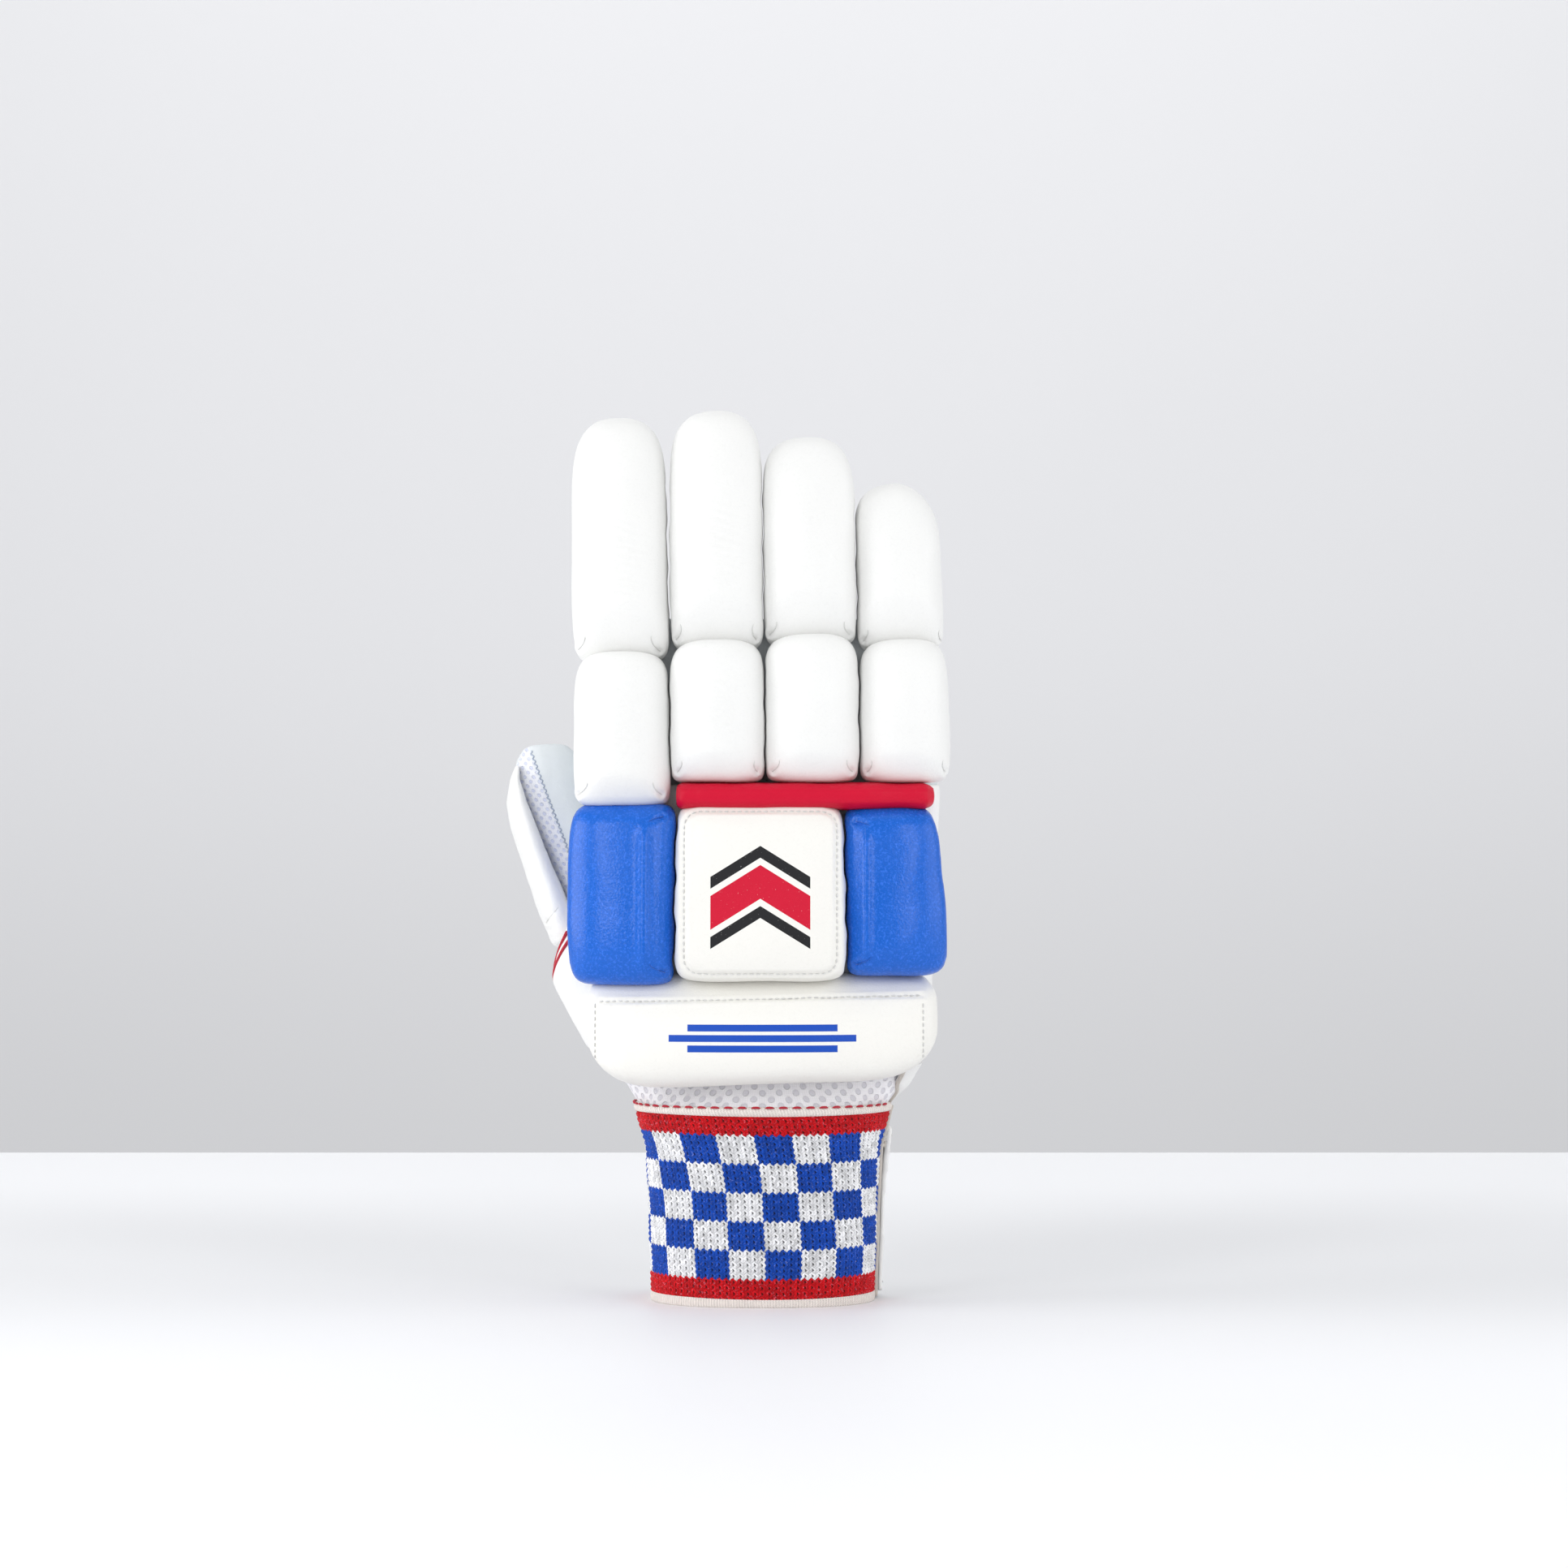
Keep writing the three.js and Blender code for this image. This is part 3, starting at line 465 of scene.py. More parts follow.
def knit_yarn(name):
    """The knitted band: blue and white checks between two red stripes and two cream edges, with painted
    shade in the holes and hollows between stitches and painted highlights along the yarn's twist.
    """
    knit = settings()[1]
    count = knit.check_stitches
    web = Web(name)
    across, up, _ = web.axes(web.field("cloth"))
    zig = abs((up / knit.course).fract() - 0.5) - 0.25
    wale = across / knit.wale + zig * KNIT_ZIG
    inside = abs(wale.fract() - 0.5)
    level = (up - knit.checks_foot) / knit.course + inside * KNIT_LEAN
    course = level.floor()
    parity = ((wale.floor() / count).floor() + (course / count).floor()) * 0.5
    checks = web.mix(parity.fract() > 0.25, tuple(knit.blue), tuple(knit.white))
    inner = (course > -0.5) * (course < CHECK_ROWS * count - 0.5)
    coloured = (up > CREAM_FOOT) * (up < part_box("knit_band")[1].z + KNIT_RISE - CREAM_HEAD)
    colour = web.mix(inner, web.mix(coloured, tuple(knit.cream), tuple(knit.red)), checks)
    place = web.place()
    fuzz = web.noise(place, 0.5 * MM, 3.0, 0.6)
    broad = web.noise(place, 9 * MM, 2.0)
    turn = level.fract()
    # Painted shade: gap, edge and seam darken the pinholes at each stitch's foot, the lines between wales
    # and the joins between courses; hollow gathers them.
    gap = inside.step(0.17, 0.06) * abs(turn - 0.30).step(0.30, 0.14)
    edge = inside.step(0.38, 0.50) * 0.26
    seam = abs(turn - 0.5).step(0.34, 0.50) * 0.30
    arm = wale.floor() * 2.0 + (wale.fract() > 0.5)
    spot = web.add("ShaderNodeCombineXYZ", sockets={0: arm, 1: course})
    uneven = web.add("ShaderNodeTexWhiteNoise", {"noise_dimensions": "2D"}, {"Vector": spot})
    hollow = (gap * 0.85).most(edge).most(seam) * coloured
    # The yarn's twist: real relief in the bump, and painted highlights in the tone.
    ply_and_highlight = ((across * 0.55 + up) / (0.55 * MM) * math.tau).sine()
    rib = (across / (0.95 * MM) * math.tau).sine() * (1.0 - coloured)
    tone = 0.62 + fuzz * 0.50 + broad * 0.16 + ply_and_highlight * 0.10 + rib * 0.09 + (uneven - 0.5) * 0.42 * coloured
    tone = tone * (1.0 - hollow)
    fleck = web.noise(place, 0.75 * MM, 2.0, 0.7).step(0.56, 0.74) * coloured
    colour = web.mix(fleck * 0.27, colour, (0.55, 0.60, 0.80))
    relief = fuzz * 0.40 + ply_and_highlight * 0.14 * coloured + rib * 0.4 + (1.0 - hollow) * 0.6
    return web.finish(web.shade(colour, tone), 0.85, relief, 0.30 * MM, sheen=0.06, specular=0.25)


def woven_tape(name, colour):
    """Woven tape or thread in one colour."""
    web = Web(name)
    place = web.place()
    x, y, z = web.axes(place)
    warp = ((x + y) / (0.5 * MM) * math.tau).sine()
    weft = (z / (0.55 * MM) * math.tau).sine()
    fuzz = web.noise(place, 0.6 * MM, 2.0)
    height = warp * weft * 0.5 + fuzz
    return web.finish(web.shade(tuple(colour), 0.86 + fuzz * 0.2), 0.85, height, 0.12 * MM, sheen=0.2)


def from_middle(web, node):
    """How far a place is across and up from the middle of a solid's box."""
    low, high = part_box(node)
    x, _, z = web.axes(web.place())
    return x - (low.x + high.x) / 2, z - (low.z + high.z) / 2


def printed_pad(name):
    """Warm white leather with a plain print: a red chevron between two black ones."""
    leather = settings()[0]
    web = Web(name)
    painted, gloss, height, relief = coated_surface(web, leather.warm)
    across, up = from_middle(web, "back_pad_centre")
    rise = up + abs(across) * PRINT_SLANT - PRINT_RISE
    red = (abs(across) < PRINT_HALF_WIDTH) * (abs(rise) < PRINT_RED_HALF)
    thin = abs(abs(rise) - PRINT_BLACK_AT) < PRINT_BLACK_HALF
    black = (abs(across) < PRINT_HALF_WIDTH) * thin
    worn = web.noise(web.place(), 0.4 * MM, 2.0).step(0.18, 0.30)
    colour = web.mix(red * worn, painted, tuple(leather.red))
    colour = web.mix(black * worn, colour, PRINT_BLACK)
    return web.finish(colour, gloss, height, relief, specular=0.3)


def barred_leather(name, node, bars):
    """Warm white leather with blue bars across it, each given by its height and its share of the width."""
    leather, knit, _, _ = settings()
    web = Web(name)
    painted, gloss, height, relief = coated_surface(web, leather.warm)
    across, up = from_middle(web, node)
    mask = None
    for level, share in bars:
        bar = (abs(up - level) < BAR_HALF) * (abs(across) < BAR_HALF_WIDTH * share)
        mask = bar if mask is None else mask.most(bar)
    return web.finish(web.mix(mask, painted, tuple(knit.blue)), gloss, height, relief, specular=0.3)


def strap_leather(name):
    """The strap's white leather with one thin blue line along its middle."""
    leather, knit, _, _ = settings()
    web = Web(name)
    painted, gloss, height, relief = coated_surface(web, leather.white)
    across = web.axes(web.field("cloth"))[0]
    line = abs(across - STRAP_LINE_AT) < STRAP_LINE_HALF
    return web.finish(web.mix(line, painted, tuple(knit.blue)), gloss, height, relief)


def stage_finish(name, colour, foot, roughness):
    """A plain matt surface for the table or the backdrop, with painted shade near the table's level, a
    painted shadow band across the table and painted light towards the table's front.
    """
    web = Web(name)
    place = web.place()
    broad = web.noise(place, 0.4, 2.0)
    _, back, up = web.axes(place)
    # Painted shade: the backdrop darkens towards the table's level
    shade = web.mix(up.step(-0.22, 0.35), tuple(foot), tuple(colour))
    # Painted shadow: a soft darker band across the table behind the glove. Painted light: the table grows
    # lighter towards its front.
    painted_shade_and_light = back.step(-0.24, 0.10) * back.step(0.50, 0.18) * TABLE_PAINTED_SHADE - back.step(-0.25, -0.8) * 0.06
    return web.finish(web.shade(shade, 0.99 + broad * 0.02 - painted_shade_and_light), roughness + broad * 0.02)


# Mesh tools

def points_of(mesh, field="co"):
    """The mesh's points, or another vector that it holds at each of them, as an array."""
    flat = np.empty(len(mesh.vertices) * 3, np.float32)
    mesh.vertices.foreach_get(field, flat)
    return flat.reshape(-1, 3).astype(float)


def normals_of(mesh):
    """The mesh's point normals as an array."""
    return points_of(mesh, "normal")


def move_points(mesh, points):
    """Puts the mesh's points in new places."""
    mesh.vertices.foreach_set("co", np.asarray(points, np.float32).ravel())
    mesh.update()


def push(mesh, amount):
    """Moves the mesh's points out along their normals, all by one amount or each by its own."""
    move_points(mesh, points_of(mesh) + normals_of(mesh) * np.reshape(amount, (-1, 1)))


def store(mesh, name, values):
    """Keeps a number or a vector at each of the mesh's points, for its material."""
    values = np.asarray(values, np.float32)
    kind, field = ("FLOAT_VECTOR", "vector") if values.ndim == 2 else ("FLOAT", "value")
    layer = mesh.attributes.new(name, kind, "POINT")
    layer.data.foreach_set(field, values.ravel())


def piece(mesh, name, material, slot, *nodes, padded=None):
    """Makes a piece of the glove from its mesh, and hides the solids that it stands for."""
    mesh.name = name
    mesh.polygons.foreach_set("use_smooth", np.ones(len(mesh.polygons), bool))
    mesh.materials.clear()
    mesh.materials.append(material)
    made = bpy.data.objects.new(name, mesh)
    bpy.context.scene.collection.objects.link(made)
    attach(made, "root")
    if nodes:
        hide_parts(*nodes)


def welded(node):
    """A welded copy of a solid, with its triangles joined to four-sided faces where they lie flat."""
    work = bmesh.new()
    work.from_mesh(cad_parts[node].data)
    bmesh.ops.remove_doubles(work, verts=work.verts, dist=1e-6)
    bmesh.ops.join_triangles(
        work, faces=work.faces, angle_face_threshold=math.radians(30),
        angle_shape_threshold=math.radians(80), cmp_materials=False)
    mesh = bpy.data.meshes.new(node + "_copy")
    work.to_mesh(mesh)
    work.free()
    return mesh


def through(mesh, *modifiers):
    """The mesh after some modifiers, each given as its type and its settings."""
    carrier = bpy.data.objects.new("carrier", mesh)
    bpy.context.scene.collection.objects.link(carrier)
    for kind, values in modifiers:
        modifier = carrier.modifiers.new(kind, kind)
        for key, value in values.items():
            setattr(modifier, key, value)
    made = bpy.data.meshes.new_from_object(carrier.evaluated_get(bpy.context.evaluated_depsgraph_get()))
    bpy.data.objects.remove(carrier)
    return made


def soft_copy(node, cell, relax, rounds=2, swell=0.0):
    """A fine smooth copy of a solid: rounded, remeshed in even cells, relaxed and swollen a little."""
    steps = [("SUBSURF", {"levels": rounds, "render_levels": rounds})] if rounds else []
    steps.append(("REMESH", {"mode": "VOXEL", "voxel_size": cell, "adaptivity": 0.0}))
    steps.append(("SMOOTH", {"factor": 0.5, "iterations": relax}))
    mesh = through(welded(node), *steps)
    if swell:
        push(mesh, swell)
    return mesh


def tree_of(mesh):
    """A search tree of the mesh's faces."""
    places = [point.co for point in mesh.vertices]
    return BVHTree.FromPolygons(places, [face.vertices for face in mesh.polygons])


def cast(tree, start, direction):
    """Where a ray meets the mesh, with the normal there, or None."""
    hit, normal, _, _ = tree.ray_cast(Vector(start), Vector(direction).normalized())
    return (np.array(hit), np.array(normal)) if hit is not None else None


def cast_in(tree, centre, level, turn, reach=0.12):
    """Where a level ray that starts outside, at an angle from the front, meets the mesh on its way in."""
    way = np.array([math.sin(turn), -math.cos(turn), 0.0])
    return cast(tree, np.array([centre[0], centre[1], level]) + way * reach, -way)


def laid(tree, path, direction):
    """A path laid on the mesh along a direction, as places and normals. Points that miss are left out."""
    away = np.array(direction) * SEAM_START
    hits = [cast(tree, np.array(place) - away, direction) for place in path]
    hits = [hit for hit in hits if hit]
    if len(hits) < 2:
        raise ValueError("a seam's path misses its piece")
    places, normals = zip(*hits)
    return np.array(places), np.array(normals)


def even(path, gap):
    """The same open path with its points a set distance apart."""
    path = np.asarray(path, float)
    steps = np.linalg.norm(np.diff(path, axis=0), axis=1)
    along = np.concatenate([[0.0], np.cumsum(steps)])
    count = max(2, int(round(along[-1] / gap)) + 1)
    marks = np.linspace(0.0, along[-1], count)
    return np.stack([np.interp(marks, along, path[:, k]) for k in range(3)], axis=1)


def crease(points, normals, path, width, depth, shoulder=0.35, fade=(1.0, 1.0)):
    """Presses a groove with soft shoulders into the points along a path. fade is its depth at both ends."""
    path = even(path, width * 0.5)
    weight = np.interp(np.linspace(0, 1, len(path)), [0, 1], fade)
    best = np.full(len(points), np.inf)
    share = np.zeros(len(points))
    near = np.where(np.linalg.norm(points - path.mean(0), axis=1)
                    < np.linalg.norm(path - path.mean(0), axis=1).max() + 6 * width)[0]
    for spot, strength in zip(path, weight):
        gap = np.linalg.norm(points[near] - spot, axis=1)
        closer = gap < best[near]
        best[near[closer]] = gap[closer]
        share[near[closer]] = strength
    groove = np.exp(-((best / width) ** 2))
    bulge = shoulder * np.exp(-(((best - 2.1 * width) / width) ** 2))
    return points + normals * ((bulge - groove) * depth * share)[:, None]


def press_seam(mesh, path, width, depth, shoulder):
    """Presses the groove of a seam into the front of a mesh."""
    places, _ = laid(tree_of(mesh), path, FRONT_VIEW)
    move_points(mesh, crease(points_of(mesh), normals_of(mesh), places, width, depth, shoulder))


def tube(path, radius, sides=8, sink=0.0, normals=None):
    """A closed round tube along a path, as points and faces."""
    path = np.asarray(path, float)
    if normals is not None:
        path = path + np.asarray(normals) * (radius - sink)
    along = np.gradient(path, axis=0)
    along /= np.linalg.norm(along, axis=1)[:, None] + 1e-12
    guide = np.asarray(normals) if normals is not None else np.tile(UP, (len(path), 1))
    side = np.cross(along, guide)
    weak = np.linalg.norm(side, axis=1) < 1e-3
    side[weak] = np.cross(along[weak], [1.0, 0.0, 0.0])
    side /= np.linalg.norm(side, axis=1)[:, None]
    out = np.cross(side, along)
    turns = np.linspace(0, math.tau, sides, endpoint=False)
    size = np.full(len(path), radius)
    size[[0, -1]] *= 0.35
    ring = (np.cos(turns)[None, :, None] * side[:, None, :]
            + np.sin(turns)[None, :, None] * out[:, None, :]) * size[:, None, None]
    points = (path[:, None, :] + ring).reshape(-1, 3)
    faces = grid_faces(len(path), sides, True)
    last = (len(path) - 1) * sides
    faces.append(tuple(range(sides))[::-1])
    faces.append(tuple(range(last, last + sides)))
    return points, faces


def grid_faces(rows, columns, wrap):
    """The faces of a grid of points, whose columns may run round."""
    faces = []
    width = columns if wrap else columns - 1
    for row in range(rows - 1):
        for column in range(width):
            right = (column + 1) % columns
            low, high = row * columns, (row + 1) * columns
            faces.append((low + column, low + right, high + right, high + column))
    return faces


def coarse_faces(rows, columns, step):
    """A grid's faces in blocks of a few cells, which keep every point of the grid's border."""
    faces = []
    for low in range(0, rows - 1, step):
        high = low + step
        for left in range(0, columns - 1, step):
            right = left + step
            foot = range(left, right, 1 if low == 0 else step)
            end = range(low, high, 1 if right == columns - 1 else step)
            head = range(right, left, -1 if high == rows - 1 else -step)
            start = range(high, low, -1 if left == 0 else -step)
            face = [low * columns + i for i in foot] + [i * columns + right for i in end]
            face += [high * columns + i for i in head] + [i * columns + left for i in start]
            faces.append(tuple(face))
    return faces


def drop_loose(mesh):
    """Deletes the points that no face uses."""
    work = bmesh.new()
    work.from_mesh(mesh)
    bmesh.ops.delete(work, geom=[point for point in work.verts if not point.link_faces], context="VERTS")
    work.to_mesh(mesh)
    work.free()


def border(rows, columns):
    """A grid's border as one loop of points."""
    last = (rows - 1) * columns
    loop = list(range(columns))
    loop += [row * columns + columns - 1 for row in range(1, rows)]
    loop += [last + column for column in range(columns - 2, -1, -1)]
    loop += [row * columns for row in range(rows - 2, 0, -1)]
    return loop


def slab_faces(rows, columns, rear=None):
    """The faces of two equal grids back to back, joined round their border. The rear one may be coarser."""
    count = rows * columns
    front = grid_faces(rows, columns, False)
    rear = [tuple(i + count for i in face[::-1]) for face in rear or front]
    ring = border(rows, columns)
    rim = [(here, here + count, there + count, there) for here, there in zip(ring, ring[1:] + ring[:1])]
    return front + rear + rim


def joined(parts):
    """One mesh from many lists of points and faces."""
    points, faces, start = [], [], 0
    for some, around in parts:
        points.append(some)
        faces += [tuple(i + start for i in face) for face in around]
        start += len(some)
    mesh = bpy.data.meshes.new("joined")
    mesh.from_pydata(np.concatenate(points).tolist(), [], faces)
    mesh.update()
    turned = bmesh.new()
    turned.from_mesh(mesh)
    bmesh.ops.recalc_face_normals(turned, faces=turned.faces)
    turned.to_mesh(mesh)
    turned.free()
    return mesh


def stitches(path, normals, stitch, share=0.68, radius=0.32 * MM):
    """A row of sewn stitches along a path: a short bowed tube for each, sunk in at both ends."""
    fine = even(path, stitch / 6)
    here, there = np.linspace(0, 1, len(fine)), np.linspace(0, 1, len(path))
    normal = np.stack([np.interp(here, there, np.asarray(normals)[:, k]) for k in range(3)], axis=1)
    normal /= np.linalg.norm(normal, axis=1)[:, None]
    parts = []
    for start in range(0, len(fine) - 6, 6):
        last = start + max(3, int(round(6 * share)))
        run = slice(start, last + 1)
        bow = np.sin(np.linspace(0, math.pi, last + 1 - start)) * radius * 0.9
        places = fine[run] + normal[run] * (bow - radius * 0.75)[:, None]
        parts.append(tube(places, radius, 6, 0.0, normal[run]))
    return parts


def sewn(tree, path, direction, share, radius):
    """A row of stitches along a path laid on the mesh."""
    places, normals = laid(tree, path, direction)
    return stitches(places, normals, settings()[2].stitch, share, radius)


def thread_piece(parts, name, material, colour, slot):
    """Makes one piece of many stitches or cords, in woven thread."""
    piece(joined(parts), name, woven_tape(material, colour), slot)


def fit(mesh, node, grow):
    """Scales a mesh to its solid's box, grown by some length on each side."""
    middle, low, high = middle_of(node)
    points = points_of(mesh)
    centre = (points.min(0) + points.max(0)) / 2
    size = points.max(0) - points.min(0)
    move_points(mesh, middle + (points - centre) * (high - low + 2 * grow) / size)


def stretch(mesh, foot, head):
    """Moves a mesh's foot and head up or down, and what is between them in step."""
    points = points_of(mesh)
    low, high = points[:, 2].min(), points[:, 2].max()
    share = (points[:, 2] - low) / (high - low)
    points[:, 2] += foot * (1 - share) + head * share
    move_points(mesh, points)


def soft_limit(value, limit, softness):
    """The value, held under a limit with a soft bend."""
    over = np.clip((limit - value) / softness, -30, 30)
    return np.where(over > 20, value, limit - softness * np.log1p(np.exp(over)))


def meet(left, right, gap, wave, seed):
    """Presses two neighbours flat against each other along a wavy line, as filled pads meet."""
    points = points_of(left), points_of(right)
    low = max(p[:, 2].min() for p in points) + 3 * MM
    high = min(p[:, 2].max() for p in points) - 3 * MM
    levels = np.arange(low, high, 1.5 * MM)
    middle = []
    for level in levels:
        sides = [p[np.abs(p[:, 2] - level) < 1.2 * MM, 0] for p in points]
        middle.append((sides[0].max() + sides[1].min()) / 2)
    broad = np.sin(levels / (17 * MM) * math.tau + seed)
    fine = np.sin(levels / (7.7 * MM) * math.tau + 2 * seed)
    middle = np.array(middle) + wave * (broad + 0.5 * fine)
    open_gap = np.interp(levels, [levels[0], levels[-1]], gap)
    for mesh, places, side in ((left, points[0], 1), (right, points[1], -1)):
        limit = np.interp(places[:, 2], levels, side * middle - open_gap / 2)
        places[:, 0] = side * soft_limit(side * places[:, 0], limit, 0.25 * MM)
        move_points(mesh, places)


def smooth_step(low, high, value):
    """A smooth step from 0 at low to 1 at high."""
    share = np.clip((value - low) / (high - low), 0.0, 1.0)
    return share * share * (3 - 2 * share)


def smoothed(values, reach):
    """Numbers averaged with so many of their neighbours on each side."""
    count = 2 * reach + 1
    return np.convolve(np.pad(values, reach, mode="edge"), np.ones(count) / count, mode="valid")


def middle_of(node):
    """The middle, the lowest and the highest corner of a solid's box."""
    low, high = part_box(node)
    return (np.array(low) + np.array(high)) / 2, np.array(low), np.array(high)


# Padded pieces

def darts(mesh, node, lines, depth=0.8 * MM, width=0.75 * MM):
    """Presses short puckered darts into the front of a pad, and returns their threads as thin tubes.
    A line's ends are shares of the pad's box."""
    _, low, high = middle_of(node)
    size = high - low
    tree = tree_of(mesh)
    seams = []
    points, normals = points_of(mesh), normals_of(mesh)
    for x0, z0, x1, z1 in lines:
        for turn, reach, share in ((0.0, 1.0, 1.0), (0.5, 0.6, 0.5), (-0.5, 0.6, 0.5)):
            along = np.array([(x1 - x0) * size[0], (z1 - z0) * size[2]]) * reach
            way = [along[0] * math.cos(turn) - along[1] * math.sin(turn),
                   along[0] * math.sin(turn) + along[1] * math.cos(turn)]
            start = [low[0] + x0 * size[0], low[2] + z0 * size[2]]
            bow = 0.16 * math.hypot(*way) * np.sign(0.5 - x0)
            path = [[start[0] + way[0] * t + bow * math.sin(t * math.pi), 0.0, start[1] + way[1] * t]
                    for t in np.linspace(0, 1, 8)]
            places, _ = laid(tree, path, FRONT_VIEW)
            points = crease(points, normals, places, width, depth * share, fade=(1.0, 0.1))
            if share == 1.0:
                seams.append(path)
    move_points(mesh, points)
    tree = tree_of(mesh)
    threads = []
    for path in seams:
        places, normals = laid(tree, path, FRONT_VIEW)
        threads.append(tube(places, 0.18 * MM, 6, 0.14 * MM, normals))
    return threads


def in_box(mesh, node):
    """A mesh's points, with their places across its solid's box from -1 to 1 and up it from 0 to 1."""
    middle, low, high = middle_of(node)
    points = points_of(mesh)
    across = (points[:, 0] - middle[0]) / (high[0] - low[0]) * 2
    up = (points[:, 2] - low[2]) / (high[2] - low[2])
    return points, across, up


def round_off(mesh, node, dome, tuck, tuck_height):
    """Domes a pad's front towards its sides, and tucks the lower end of its front back under an arc."""
    middle, low, high = middle_of(node)
    points, across, _ = in_box(mesh, node)
    across = np.clip(np.abs(across), 0, 1.1)
    front = np.clip((middle[1] - points[:, 1]) / (high[1] - low[1]) * 2, 0, 1)
    arc = low[2] + tuck_height * (1.15 - 0.45 * across ** 2)
    below = (arc - points[:, 2]) / tuck_height * 0.5
    under = smooth_step(0.0, 1.0, below + 0.25) - smooth_step(0.0, 1.0, 0.25)
    points[:, 1] += front * (dome * across ** 3.2 + tuck * np.clip(under, 0, 1))
    move_points(mesh, points)


def draw_in(mesh, node, side, amount):
    """Draws one side of a pad in, -1 for its left and 1 for its right, and leaves its middle."""
    points, across, _ = in_box(mesh, node)
    points[:, 0] -= side * amount * smooth_step(0.0, 1.0, side * across)
    move_points(mesh, points)


def round_head(mesh, node, drop):
    """Lowers the two corners of a pad's head."""
    points, across, up = in_box(mesh, node)
    points[:, 2] -= smooth_step(0.6, 1.0, up) * np.clip(np.abs(across), 0, 1.1) ** 2.6 * drop
    move_points(mesh, points)


def slope_head(mesh, node, drop, slope):
    """Lowers a pad's head, and more so towards its right."""
    points, across, up = in_box(mesh, node)
    points[:, 2] -= smooth_step(0.55, 1.0, up) * (drop + slope * smooth_step(-0.2, 1.0, across))
    move_points(mesh, points)


def swell_at(mesh, place, reach, amount):
    """Pushes a mesh out round a place, less and less towards a reach on each axis."""
    gap = (((points_of(mesh) - np.array(place)) / np.array(reach)) ** 2).sum(1)
    push(mesh, np.exp(-gap) * amount)


def ridge(mesh, node, at, width, height):
    """Raises an upright ridge on the front of a pad at a share of its width."""
    points, _, up = in_box(mesh, node)
    _, low, high = middle_of(node)
    beside = points[:, 0] - (low[0] + at * (high[0] - low[0]))
    front = smooth_step(0.1, -0.5, normals_of(mesh)[:, 1])
    mask = smooth_step(0.02, 0.2, up) * smooth_step(0.98, 0.8, up) * front
    points[:, 1] -= np.exp(-((beside / width) ** 2)) * height * mask
    move_points(mesh, points)


def ripples(mesh, node, span, pitch, depth):
    """Faint level ripples down the middle of a pad's front, between two shares of its height."""
    points, across, up = in_box(mesh, node)
    front = smooth_step(0.0, -0.5, normals_of(mesh)[:, 1])
    mask = np.exp(-((across / 0.44) ** 2)) * smooth_step(span[0], span[0] + 0.15, up)
    mask *= (1 - smooth_step(span[1] - 0.15, span[1], up)) * front
    drift = 0.35 * np.sin(points[:, 2] / (7.3 * MM)) + across * 1.5
    wave = np.sin(points[:, 2] / pitch * math.tau + drift * math.tau)
    push(mesh, wave * mask * depth)


def undulate(mesh, seed, size, depth):
    """A slow uneven swell over a piece, the same each time."""
    points = points_of(mesh)
    rng = np.random.default_rng(seed)
    swell = np.zeros(len(points))
    for _ in range(5):
        direction = rng.normal(size=3)
        direction /= np.linalg.norm(direction)
        wave = size * rng.uniform(0.6, 1.6)
        swell += np.sin(points @ direction / wave * math.tau + rng.uniform(0, math.tau))
    push(mesh, swell / 5 * depth)


class GLOVE_OT_rolls(bpy.types.Operator):
    """Makes the padded rolls of the four fingers"""
    bl_idname = "glove.rolls"
    bl_label = "Finger rolls"

    def execute(self, context):
        leather = context.scene.glove_leather
        material = coated_leather("roll_leather", leather.white)
        thread = woven_tape("dart_thread", context.scene.glove_cloth.thread)
        for row in ("lower", "upper"):
            meshes = [self.roll(finger, row, number, leather) for number, finger in enumerate(FINGERS)]
            for number, (left, right) in enumerate(zip(meshes, meshes[1:])):
                gap = (0.15 * MM, 1.5 * MM if row == "upper" and number == 0 else 0.3 * MM)
                meet(left, right, gap, 0.22 * MM, number * 1.9 + (row == "upper"))
            threads = []
            for finger, mesh in zip(FINGERS, meshes):
                threads += self.sew(mesh, finger, row)
                piece(mesh, f"{finger}_{row}_pad", material, "white_leather",
                      f"{finger}_{row}_roll", padded=0.9)
            piece(joined(threads), f"{row}_roll_darts", thread, "white_leather")
        return {"FINISHED"}

    def roll(self, finger, row, number, leather):
        """One roll before it meets its neighbours."""
        node = f"{finger}_{row}_roll"
        mesh = soft_copy(node, leather.voxel, 12, 1)
        fit(mesh, node, 0.75 * MM)
        if row == "upper":
            stretch(mesh, -3.2 * MM, -0.5 * MM)
            round_off(mesh, node, 3.0 * MM, 8.0 * MM, 13 * MM)
        else:
            stretch(mesh, 0.0, -1.8 * MM)
            round_head(mesh, node, 1.5 * MM)
            round_off(mesh, node, 2.6 * MM, 3.5 * MM, 8 * MM)
        if finger == "index":
            draw_in(mesh, node, -1, 1.5 * MM)
        if finger == "little":
            draw_in(mesh, node, 1, 2.4 * MM if row == "upper" else 1.2 * MM)
            if row == "upper":
                slope_head(mesh, node, 1.2 * MM, 5.0 * MM)
        undulate(mesh, number * 2 + (row == "upper"), 26 * MM, 0.32 * MM)
        return mesh

    def sew(self, mesh, finger, row):
        """The puckered darts at a roll's lower corners and the faint ripples down its front."""
        node = f"{finger}_{row}_roll"
        foot, rise = (0.0, 0.065) if row == "upper" else (0.06, 0.08)
        lean = 0.03 * (len(finger) % 3)
        corners = [(0.07, foot, 0.12 + lean, foot + rise), (0.93, foot, 0.90 - lean, foot + rise)]
        threads = darts(mesh, node, corners, 0.55 * MM)
        if finger in ("index", "middle"):
            span = (0.12, 0.62) if row == "upper" else (0.25, 0.85)
            ripples(mesh, node, span, 2.6 * MM, 0.2 * MM)
        return threads


